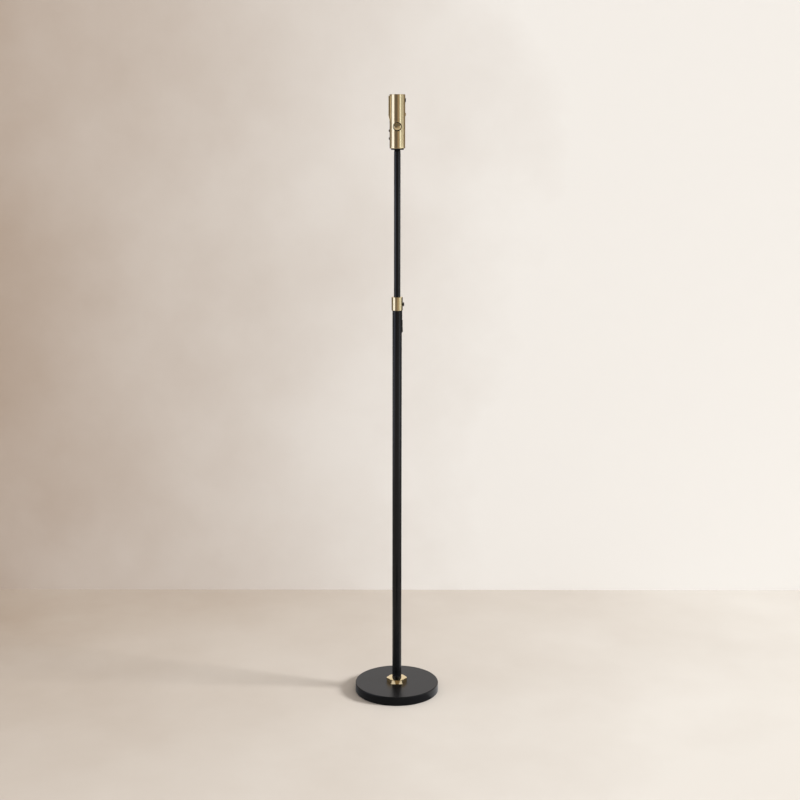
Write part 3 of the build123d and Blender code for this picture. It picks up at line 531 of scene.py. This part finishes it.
def lower_tube_top():
    """Tube with the square door for the switch in its +X side."""
    low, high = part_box("lower_tube_top")
    half_width, half_length = SWITCH_DOOR
    axis = AXIS["switch_press"][2]
    sill, lintel = axis - half_length, axis + half_length
    bore = high.x - TUBE_WALL

    def columns(radius):
        """Turns of the columns of a wall: steps over the door, then round the rest of the tube."""
        first, last = gap_turns(RIGHT, half_width, radius)
        return through([first, last, first + 2 * math.pi], [16, 96])[:-1]

    heights = np.array([low.z, low.z + TUBE_EDGE, sill, lintel, high.z])
    radii = np.full_like(heights, high.x)
    radii[0] -= TUBE_EDGE
    outer = np.stack([radii, heights], -1)
    inner = np.stack([np.full_like(heights, bore), heights], -1)
    door = (gap_turns(RIGHT, half_width, high.x), (sill, lintel))
    piece("lower_tube_top", walled(outer, inner, columns(high.x), columns(bore), doors=[door]))


def collar():
    """Turned sleeve over the lower tube, stepped in over the bush, with a lip round the upper tube."""
    low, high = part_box("collar")
    tube, tube_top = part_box("lower_tube_top")[1].x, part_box("lower_tube_top")[1].z
    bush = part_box("guide_bush")[1].x
    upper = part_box("upper_tube")[1].x + COLLAR_CLEARANCE
    lip = high.z - COLLAR_LIP
    outline = rounded((high.y, low.z, COLLAR_EDGE), (high.y, high.z, COLLAR_EDGE), (upper, high.z, TUBE_EDGE),
                      (upper, lip, 0), (bush, lip, 0), (bush, tube_top, 0), (tube, tube_top, 0),
                      (tube, low.z, TUBE_EDGE))
    piece("collar", spun(outline, ring=True))


def clamp_screw():
    """Thumb screw with a dished head: its radius dips at each flute, as the eighth power of a cosine."""
    low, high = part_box("clamp_screw")
    under_head, _, axis = AXIS["clamp_turn"]
    height, reach = high.x - under_head, under_head - low.x
    turn = np.linspace(0, 2 * math.pi, FLUTE_STEPS * CLAMP_FLUTES, endpoint=False)
    head = high.y - CLAMP_FLUTE_DEPTH * np.cos(CLAMP_FLUTES / 2 * turn) ** 8
    dish = CLAMP_DISH_SHARE * high.y
    edge = CLAMP_EDGE
    ease = edge / 3
    rows = [(0, -reach), (CLAMP_SHANK - edge, -reach), (CLAMP_SHANK, edge - reach), (CLAMP_SHANK, 0),
            (head - edge / 2, 0), (head, edge / 2), (head, height - edge), (head - ease, height - ease),
            (head - edge, height), (dish, height), (dish - edge, height - edge), (0, height - edge)]
    piece("clamp_screw", pointed(spun(rows, turn), (1, 0, 0), (under_head, 0, axis)))


# Switch

def switch_bezel():
    """Saddle on the tube: rounded loops on cylinders, x = sqrt(r2 - y2), with a skirt behind the mouth."""
    low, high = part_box("switch_bezel")
    half_up, middle = (high.z - low.z) / 2, (high.z + low.z) / 2
    tube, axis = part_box("lower_tube_top")[1].x, AXIS["switch_press"][2]
    wall, edge = 1.0 * MM, 0.35 * MM
    corner, mouth_corner = 3.0 * MM, 0.8 * MM
    mouth_across, mouth_up = 4.0 * MM, 14.3 * MM

    def on_cylinder(loop, radius):
        """Loop laid on a cylinder about the pole."""
        return facing_x(loop, np.sqrt(radius ** 2 - loop[:, 0] ** 2))

    def rim(by):
        """Outline of the saddle, drawn in."""
        return rounded_loop(high.y - by, half_up - by, corner, middle)

    def mouth(by):
        """Outline of the mouth, let out."""
        return rounded_loop(mouth_across + by, mouth_up + by, mouth_corner, axis)

    arc = quarter(edge, EDGE_STEPS)
    rows = [on_cylinder(rim(0), tube)]
    rows += [on_cylinder(rim(into), high.x - down) for into, down in arc]
    rows += [on_cylinder(mouth(into), high.x - down) for into, down in arc[::-1]]
    rows += [facing_x(mouth(0), low.x), facing_x(mouth(wall), low.x), on_cylinder(mouth(wall), tube)]
    piece("switch_bezel", skin(np.array(rows), ring=True))


def switch_rocker():
    """Rocker with rounded edges and a dished face, x = face - dish (1 - |z| / half), eased in the middle.

    It is drawn upright about its pin, then tipped to the side that is pressed in at rest.
    """
    pin_x, _, pin_z = AXIS["switch_press"]
    half_across, half_up = 3.7 * MM, 14.0 * MM
    face, back = 13.1 * MM - pin_x, 9.6 * MM - pin_x
    dish, edge, corner = 0.3 * MM, 0.4 * MM, 1.0 * MM
    ease = 0.01
    tip = math.radians(-1)

    def row(share, into, down):
        """Loop on the face: a share of its outline, drawn in from the side and lowered."""
        loop = rounded_loop(half_across - into, half_up - into, corner) * share
        slope = np.sqrt((loop[:, 1] / half_up) ** 2 + ease)
        return facing_x(loop, np.minimum(face, face - dish * (1 - slope)) - down)

    rows = [row(share, edge, 0) for share in np.linspace(0, 1, FACE_STEPS + 1)]
    rows += [row(1, into, down) for into, down in quarter(edge, EDGE_STEPS)[::-1][1:]]
    rows += [facing_x(rounded_loop(half_across, half_up, corner) * share, back) for share in (1, 0)]
    x, y, z = np.moveaxis(np.array(rows), -1, 0)
    tipped_x = x * math.cos(tip) + z * math.sin(tip)
    tipped_z = z * math.cos(tip) - x * math.sin(tip)
    piece("switch_rocker", skin(np.stack([tipped_x + pin_x, y, tipped_z + pin_z], -1)))


# Swivel

def swivel_stem():
    """Turned neck and shank with a flat blade on top.

    The blade is a loop round the pivot hole, joined point for point to its outline in front and behind.
    """
    low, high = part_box("swivel_stem")
    neck, shank, bore, edge = high.x, STEM_SHANK, STEM_BORE, NECK_EDGE
    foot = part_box("swivel_bush")[1].z + BEARING_GAP
    top = foot + NECK_LENGTH
    blade_foot, blade_top = top - edge / 2, TILT + BLADE_HALF
    turned = rounded((bore, low.z, 0), (shank, low.z, TUBE_EDGE), (shank, foot, 0), (neck, foot, TUBE_EDGE),
                     (neck, top, edge), (0, top, 0), (0, top - edge, 0), (bore, top - edge, 0))
    outline = rounded((-BLADE_HALF, blade_foot, 0), (BLADE_HALF, blade_foot, 0),
                      (BLADE_HALF, blade_top, BLADE_HALF), (-BLADE_HALF, blade_top, BLADE_HALF))
    swing = np.arctan2(outline[:, 1] - TILT, outline[:, 0])
    hole = (PIVOT_SHANK + BEARING_GAP) * np.stack([np.cos(swing), np.sin(swing)], -1) + [0, TILT]
    front = -BLADE_THICKNESS / 2
    sides = ((outline, front), (outline, -front), (hole, -front), (hole, front))
    blade = np.array([np.stack([loop[:, 0], np.full(len(loop), y), loop[:, 1]], -1) for loop, y in sides])
    piece("swivel_stem", spun(turned, ring=True), skin(blade, ring=True), edge=BLADE_EDGE)


# Head

def head_shell():
    """Brass tube, rounded at both ends, with two pivot holes and the slot and the window in its -X side."""
    low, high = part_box("head_shell")
    radius, foot, top = high.y, low.z, high.z
    bore = radius - HEAD_WALL
    patch_turn, patch = math.radians(54), 14.0 * MM
    pane_low, pane_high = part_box("diffuser")
    window_half = pane_high.y + WINDOW_MARGIN
    sill, lintel = pane_low.z - WINDOW_MARGIN, pane_high.z + WINDOW_MARGIN
    slot_top = TILT + KNUCKLE_END

    def columns(wall):
        """Turns of the columns of a wall, from the window round the front and the back to the window."""
        slot, window = gap_turns(LEFT, KNUCKLE_HALF_SLOT, wall), gap_turns(LEFT, window_half, wall)
        stops = [window[0], *slot, window[1], -patch_turn, patch_turn, math.pi - patch_turn,
                 math.pi + patch_turn, window[0] + 2 * math.pi]
        return through(stops, [4, 10, 4, 8, 48, 32, 48, 8])[:-1]

    stops = [foot + HEAD_FOOT_EDGE, TILT - patch, slot_top, TILT + patch, sill, lintel, top - HEAD_TOP_EDGE]
    straight = through(stops, [12, 16, 6, 4, 12, 4])
    lower = [(radius - into, foot + up) for into, up in quarter(HEAD_FOOT_EDGE)[:0:-1]]
    upper = [(radius - into, top - down) for into, down in quarter(HEAD_TOP_EDGE)[1:]]
    outer = np.vstack([lower, np.stack([np.full_like(straight, radius), straight], -1), upper])
    inner = np.stack([np.full(len(outer), bore), outer[:, 1]], -1)
    slot = (gap_turns(LEFT, KNUCKLE_HALF_SLOT, radius), (foot, slot_top))
    window = (gap_turns(LEFT, window_half, radius), (sill, lintel))
    holes = [(side, TILT, PIVOT_HOLE, patch_turn, patch) for side in (0, math.pi)]
    shell = walled(outer, inner, columns(radius), columns(bore), [slot, window], holes)
    piece("head_shell", shell, edge=HEAD_CUT_EDGE)


def head_bottom_cap():
    """Horseshoe round the knuckle slot: at each level an arc outside and the U of the slot inside."""
    low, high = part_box("head_bottom_cap")
    lip_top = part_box("head_shell")[0].z
    levels = [(FOOT_CAP_LIP - into, low.z + up) for into, up in quarter(FOOT_CAP_EDGE)[::-1]]
    levels += [(FOOT_CAP_LIP, lip_top), (high.y, lip_top), (high.y, high.z)]
    along, across = 24, 8
    steps = [along, across, along - 1]
    half = KNUCKLE_HALF_SLOT
    outside, inside = [], []
    for radius, height in levels:
        first, last = gap_turns(LEFT, half, radius)
        outside.append(about_axis(radius, np.linspace(last, first + 2 * math.pi, sum(steps) + 1), height))
        mouth = radius * math.sin(last)
        x = through([mouth, KNUCKLE_END, KNUCKLE_END, mouth], steps)
        y = through([-half, -half, half, half], steps)
        inside.append(np.stack([x, y, np.full_like(x, height)], -1))
    piece("head_bottom_cap", skin(np.array(outside + inside[::-1]).transpose(1, 0, 2)))


def pivot_cap(name, side, reach):
    """Domed cap on the pivot: a rim, the sphere height - R + sqrt(R2 - r2), and a shank behind the seat."""
    low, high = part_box(name)
    radius = high.x
    height = max(-low.y, high.y) - PIVOT_SEAT
    sphere = (radius ** 2 + PIVOT_DOME ** 2) / (2 * PIVOT_DOME)
    edge = PIVOT_EDGE
    ease = 0.3 * edge
    dome = (radius - edge) * np.linspace(1, 0, DOME_STEPS + 1)
    rim = height - PIVOT_DOME
    face = height - sphere + np.sqrt(sphere ** 2 - dome ** 2)
    rows = [(0, -reach), (PIVOT_SHANK, -reach), (PIVOT_SHANK, 0), (radius, 0), (radius, rim - edge),
            (radius - ease, rim - ease), *zip(dome, face)]
    piece(name, pointed(spun(rows), (0, side, 0), (0, side * PIVOT_SEAT, TILT)))


def screw(name, heads):
    """Socket-head screws: a rounded head with a hexagon recess, and a plain shank behind it.

    heads: for each screw its (direction, place, head radius, head height, reach).
    """
    lead_in = SCREW_LEAD_IN
    solids = []
    for direction, place, radius, height, reach in heads:
        edge, floor = SCREW_EDGE_SHARE * height, SCREW_FLOOR_SHARE * height
        recess = hexagon(SCREW_RECESS_SHARE * radius, TURN, RECESS_CORNERS)
        rows = [(0, -reach), (SCREW_SHANK, -reach), (SCREW_SHANK, 0), (radius, 0)]
        rows += [(radius - into, height - down) for into, down in quarter(edge)]
        rows += [(recess + lead_in, height), (recess, height - lead_in), (recess, floor), (0, floor)]
        solids.append(pointed(spun(rows), direction, place))
    piece(name, *solids)


def head_screws():
    """Two screws of the block on the left of the head, and the two of the light carrier on its right."""
    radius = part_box("head_shell")[1].y
    out = np.array([math.sin(BLOCK_SCREW_TURN), -math.cos(BLOCK_SCREW_TURN), 0])
    places = [out * radius + [0, 0, TILT - drop] for drop in BLOCK_SCREW_DROPS]
    screw("block_screws", [(out, place, BLOCK_SCREW_HEAD, BLOCK_SCREW_HEIGHT, BLOCK_SCREW_REACH)
                           for place in places])
    for name in ("carrier_screw_upper", "carrier_screw_lower"):
        low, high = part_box(name)
        place = (radius, 0, (low.z + high.z) / 2)
        screw(name, [((1, 0, 0), place, high.y, high.x - radius, radius - low.x)])


def window_bezel():
    """Raised frame: loops on the shell, up its rounded edge to the face and down into the mouth.

    The face stands at shell + rise, and slopes down to the shell over the ramp at its lower end.
    """
    low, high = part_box("window_bezel")
    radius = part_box("head_shell")[1].y
    pane_low, pane_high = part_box("diffuser")
    half_up, middle = (high.z - low.z) / 2, (high.z + low.z) / 2
    rise, ramp = -low.x - radius, 10.5 * MM
    edge, lip, corner = 1.2 * MM, 0.6 * MM, 1.0 * MM
    skirt, skirt_depth = 0.8 * MM, 3.6 * MM
    gap = 0.05 * MM
    mouth_across, mouth_up = pane_high.y + gap, (pane_high.z - pane_low.z) / 2 + gap

    def rim(by):
        """Outline of the frame, drawn in."""
        return rounded_loop(high.y - by, half_up - by, corner, middle)

    def mouth(by):
        """Outline of the mouth, drawn in."""
        return rounded_loop(mouth_across - by, mouth_up - by, PANE_CORNER, middle)

    def raised(loop, drop):
        """Loop on the face, lowered by drop but never under the shell."""
        across, up = loop.T
        shell = np.sqrt((radius + gap) ** 2 - across ** 2)
        face = radius + rise * np.clip((up - low.z) / ramp, 0, 1)
        return facing_x(loop, -np.maximum(face - drop, shell))

    skirt_loop = rounded_loop(mouth_across + skirt, mouth_up + skirt, corner, middle)
    swing = np.linspace(0, math.pi / 4, ARC_STEPS + 1)
    rows = [raised(rim(0), radius)]
    rows += [raised(rim(into), down) for into, down in quarter(edge)]
    rows += [raised(mouth(lip * math.sin(a)), lip * (1 - math.cos(a))) for a in swing]
    rows += [facing_x(mouth(lip), pane_low.x), facing_x(mouth(0), pane_low.x), facing_x(mouth(0), high.x)]
    rows += [facing_x(skirt_loop, high.x), facing_x(skirt_loop, skirt_depth - radius)]
    piece("window_bezel", skin(np.array(rows), ring=True))


def diffuser():
    """Opal pane in the frame, with a slight crown: it falls off as the square of the distance across."""
    low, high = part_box("diffuser")
    half_across, half_up, middle = high.y, (high.z - low.z) / 2, (high.z + low.z) / 2
    edge, crown = 0.3 * MM, 0.25 * MM

    def row(share, into, down):
        """Loop on the face: a share of its outline, drawn in from the side and lowered."""
        loop = rounded_loop(half_across - into, half_up - into, PANE_CORNER) * share
        return facing_x(loop, low.x + crown * (loop[:, 0] / half_across) ** 2 + down)

    rows = [row(share, edge, 0) for share in np.linspace(0, 1, FACE_STEPS + 1)]
    rows += [row(1, into, down) for into, down in quarter(edge, EDGE_STEPS - 1)[::-1][1:]]
    rows += [facing_x(rounded_loop(half_across, half_up, PANE_CORNER) * share, high.x) for share in (1, 0)]
    piece("diffuser", skin(np.array(rows) + [0, 0, middle]))


disc("base_pad", PAD_EDGE)
base_cover()
cord_grommet()
pole_foot_nut()
plain_tube("lower_tube_bottom", TUBE_WALL)
lower_tube_top()
plain_tube("upper_tube", UPPER_TUBE_WALL)
collar()
clamp_screw()
switch_bezel()
switch_rocker()
swivel_stem()
head_shell()
disc("head_top_cap", TOP_CAP_EDGE)
head_bottom_cap()
pivot_cap("pivot_bolt", -1, PIVOT_BOLT_REACH)
pivot_cap("pivot_nut", 1, 0.0)
head_screws()
window_bezel()
diffuser()


# Stage

WALL_Y = 0.75
BACKDROP_HALF = 40.0
BACKDROP_TOP = 6.0
CARD_STEPS = 48
OVER_FLOOR = 0.6 * MM
OVER_BASE = 22.3 * MM
CAMERA_PLACE = (0.0069, -3.126, 1.321)
CAMERA_DIP = math.radians(10.83)
CAMERA_ROLL = math.radians(0.08)
FOCAL_PIXELS = 1352.0
FRAME_PIXELS = 800
SENSOR = 36.0


def plaster(name, tones, middle, slope, one_sided):
    """Pale limewash that drifts from one tone to the other, in clouds half a metre wide.

    The share of the second tone is middle at the origin, changes by slope for each metre, and has the clouds
    added. That steady change is painted light and shade: the darker first tone stands where less light falls.
    A one-sided sheet is clear from behind.
    """
    cloud, sway = 450, 0.08
    material = bpy.data.materials.new(name)
    material.use_nodes = True
    tree = material.node_tree
    shader = tree.nodes["Principled BSDF"]
    shader.inputs["Roughness"].default_value = 0.9
    shader.inputs["Specular IOR Level"].default_value = 0.1
    first, second = linear(tones[0]), linear(tones[1])
    place = node(tree, "TexCoord", {}).outputs["Object"]
    wide = node(tree, "TexNoise", {"Vector": place, "Scale": per(cloud), "Detail": 6.0, "Roughness": 0.55})
    clouds = node(tree, "MapRange", {"Value": wide.outputs["Fac"], "From Min": 0.3, "From Max": 0.7,
                                     "To Min": middle - sway, "To Max": middle + sway})
    drift = node(tree, "VectorMath", {0: place, 1: slope}, operation="DOT_PRODUCT")
    share = node(tree, "Math", {0: drift.outputs["Value"], 1: clouds.outputs["Result"]}, operation="ADD",
                 use_clamp=True)
    tone = node(tree, "Mix", {"Factor": share.outputs[0], MIX_FIRST: first, MIX_SECOND: second},
                data_type="RGBA")
    tree.links.new(tone.outputs[MIX_COLOUR], shader.inputs["Base Color"])
    if one_sided:
        clear = node(tree, "BsdfTransparent", {}).outputs["BSDF"]
        side = node(tree, "NewGeometry", {}).outputs["Backfacing"]
        shown = node(tree, "MixShader", {0: side, 1: shader.outputs["BSDF"], 2: clear})
        tree.links.new(shown.outputs["Shader"], tree.nodes["Material Output"].inputs["Surface"])
    return material


def stage_sheet(name, grid, material):
    """Stage surface over a (rows, columns, 3) grid."""
    points, corners = skin(grid, closed=False)
    mesh = bpy.data.meshes.new(name)
    mesh.from_pydata(points, [], corners)
    mesh.polygons.foreach_set("use_smooth", np.ones(len(mesh.polygons), bool))
    mesh.materials.append(material)
    obj = placed(name, mesh)
    return obj


def backdrop():
    """Level floor and an upright wall behind the lamp."""
    across = (-BACKDROP_HALF, BACKDROP_HALF)
    floor = np.array([[(x, y, 0) for x in across] for y in across])
    wall = np.array([[(x, WALL_Y, z) for x in across] for z in (0, BACKDROP_TOP)])
    # Both drifts are painted light and shade: the floor darker to the left and towards the wall, the wall darker
    # to the left and a little darker upwards, as a falloff of the key light from the right
    floor_plaster = plaster("pale_plaster_floor", ("9b8b7b", "d2cec8"), middle=0.67, slope=(0.33, -0.22, 0),
                            one_sided=False)
    wall_plaster = plaster("pale_plaster_wall", ("ab9785", "f3f2f0"), middle=0.87, slope=(0.54, 0, -0.06),
                           one_sided=True)
    stage_sheet("floor", floor, floor_plaster)
    stage_sheet("wall", wall, wall_plaster).visible_shadow = False


def card(name, first, last, foot, top, colour, tone):
    """Glowing card round part of the lamp, from one (radius, height) edge to the other: a painted reflection.

    It lights nothing and is seen only in the gloss of the metal and the paint. Its faces point away from the
    lamp, so it glows from their backs and is clear from outside or below.
    """
    material = bpy.data.materials.new(name)
    material.use_nodes = True
    tree = material.node_tree
    tree.nodes.clear()
    glow = node(tree, "Emission", {"Color": linear(colour), "Strength": tone}).outputs["Emission"]
    clear = node(tree, "BsdfTransparent", {}).outputs["BSDF"]
    side = node(tree, "NewGeometry", {}).outputs["Backfacing"]
    shown = node(tree, "MixShader", {0: side, 1: clear, 2: glow})
    node(tree, "OutputMaterial", {"Surface": shown.outputs["Shader"]})
    turn = np.radians(np.linspace(first, last, CARD_STEPS + 1))
    grid = np.array([about_axis(radius, turn, height) for radius, height in (foot, top)])
    sheet = stage_sheet(name, grid, material)
    sheet.visible_camera = False
    sheet.visible_diffuse = False
    sheet.visible_transmission = False
    sheet.visible_shadow = False


def far_light(name, aim, spread, strength):
    """Light from so far that the whole stage gets it alike; its shadows blur over the spread in degrees."""
    light = bpy.data.lights.new(name, "SUN")
    light.angle = math.radians(spread)
    light.energy = strength
    obj = placed(name, light)
    obj.rotation_euler = Vector(aim).to_track_quat("-Z", "Y").to_euler()
    obj.visible_camera = False
    obj.visible_glossy = False


def painted_reflection_cards():
    """Glowing cards round the lamp, seen only in its gloss: painted reflections, the bright ones painted
    highlights and the dim ones painted shade. Columns: name, first and last turn in degrees, lower and upper edge,
    colour and tone.
    """
    at_nut, off_nut = (0.022, OVER_BASE), (0.05, OVER_BASE)
    middle, off_base, far_off = (0.0, OVER_FLOOR), (0.45, OVER_FLOOR), (6.0, OVER_FLOOR)
    cards = [
        # The softbox cards are painted highlights: they glow only in the gloss and light nothing
        ("softbox_left", -84, -48, (2.4, 0.5), (2.4, 2.0), "d6e2ff", 1.9),
        ("softbox_right", 37, 52, (2.4, 1.22), (2.4, 2.0), "e8f4ff", 1.5),
        ("card_left", -104, -84, (2.4, 0.5), (2.4, 2.0), "fff5f5", 0.38),
        ("card_left_middle", -100, -50, (2.3, 0.82), (2.3, 1.18), "e6ebff", 3.0),
        ("card_left_low", -104, -76, (2.4, 0.0), (2.4, 0.5), "eef2ff", 2.6),
        ("card_left_low_front", -76, -45, (2.4, 0.0), (2.4, 0.5), "ffffff", 0.8),
        ("card_left_front", -48, -36, (6.0, 0.0), (6.0, 2.0), "fff5f5", 0.43),
        ("card_front_left", -36, 0, (6.0, 0.0), (6.0, 2.0), "fff0ea", 0.155),
        ("card_front", 0, 10, (6.0, 0.0), (6.0, 2.0), "ffe7cf", 0.3),
        ("card_front_right", 10, 24, (6.0, 0.0), (6.0, 2.0), "ffe7cf", 0.42),
        ("card_right_front", 24, 50, (6.0, 0.0), (6.0, 2.0), "fff7e5", 0.46),
        ("card_right", 50, 106, (2.5, 1.22), (2.5, 2.0), "ffffff", 0.56),
        ("card_right_middle", 46, 106, (2.4, 0.82), (2.4, 1.22), "f4faff", 2.2),
        ("card_right_collar", 50, 90, (2.4, 0.5), (2.4, 0.82), "f4faff", 0.8),
        ("card_right_low", 48, 84, (2.4, 0.0), (2.4, 0.5), "f4faff", 2.2),
        ("card_right_edge", 84, 106, (2.5, 0.0), (2.5, 0.82), "ffffff", 0.35),
        ("card_rear_left", -180, -104, (0.7, 1.25), (0.7, 2.2), "f4efee", 0.27),
        ("card_rear_right", 104, 180, (0.7, 1.25), (0.7, 2.2), "ffecd7", 0.24),
        ("card_rear_low", 104, 256, (0.7, 0.0), (0.7, 1.25), "ffffff", 0.12),
        ("card_rear_stripe", 166, 194, (0.69, 0.65), (0.69, 2.2), "fff6ea", 0.9),
        ("card_rear_base", 158, 202, (0.6, 0.12), (0.6, 0.6), "fffaf7", 0.94),
        # Dim cards at the nut paint shade under it, in its gloss and in the base beneath it; the bright ones paint
        # highlights on its flats and corners
        ("card_nut_front", -16, 16, (0.35, 0.1), (0.35, 0.21), "fff0dd", 0.05),
        ("card_nut_foot_left", -40, -8, at_nut, off_nut, "f6f6ff", 0.85),
        ("card_nut_foot", -8, 12, at_nut, off_nut, "ffdfb0", 0.22),
        ("card_nut_foot_right", 12, 40, at_nut, off_nut, "f6f6ff", 0.85),
        ("card_nut_left", -132, -92, (0.16, 0.03), (0.16, 0.12), "fff0dd", 0.9),
        ("card_nut_right", 92, 132, (0.16, 0.03), (0.16, 0.12), "fff0dd", 0.9),
        ("card_above", -75, 75, (6.0, 2.0), (6.0, 14.0), "fff5ea", 0.16),
        # The dim ring near the base is painted shade at the foot of the base and the pole, seen in their gloss
        ("card_floor_near", 150, 420, middle, off_base, "ffffff", 0.22),
        ("card_floor_right", 60, 150, middle, off_base, "ffffff", 0.8),
        ("card_floor", -180, 180, off_base, far_off, "fff6ea", 0.55),
    ]
    for row in cards:
        card(*row)


def studio():
    """Pale surroundings: one level of light on things, and one where the camera, gloss or glass sees them."""
    lit, seen = 0.8, 0.75
    world = bpy.data.worlds.new("studio")
    bpy.context.scene.world = world
    world.use_nodes = True
    tree = world.node_tree
    path = node(tree, "LightPath", {}).outputs
    direct = node(tree, "Math", {0: path["Is Camera Ray"], 1: path["Is Glossy Ray"]}, operation="MAXIMUM")
    direct = node(tree, "Math", {0: direct.outputs[0], 1: path["Is Transmission Ray"]}, operation="MAXIMUM")
    level = node(tree, "MapRange", {"Value": direct.outputs[0], "To Min": lit, "To Max": seen})
    ground = tree.nodes["Background"]
    ground.inputs["Color"].default_value = linear("fbf7f3")
    tree.links.new(level.outputs["Result"], ground.inputs["Strength"])


def camera():
    """Camera at the viewing angle of the photograph, with its focal length in pixels of the square frame."""
    lens = bpy.data.cameras.new("camera")
    lens.sensor_width = SENSOR
    lens.lens = SENSOR * FOCAL_PIXELS / FRAME_PIXELS
    obj = placed("camera", lens)
    obj.location = CAMERA_PLACE
    pitch = Matrix.Rotation(math.pi / 2 - CAMERA_DIP, 3, "X")
    obj.rotation_euler = (pitch @ Matrix.Rotation(CAMERA_ROLL, 3, "Z")).to_euler()
    bpy.context.scene.camera = obj


backdrop()
painted_reflection_cards()
far_light("key_right", aim=(-9.4, 1.8, -5.0), spread=14.6, strength=4.2)
studio()
camera()
bpy.context.scene.view_settings.view_transform = "Standard"
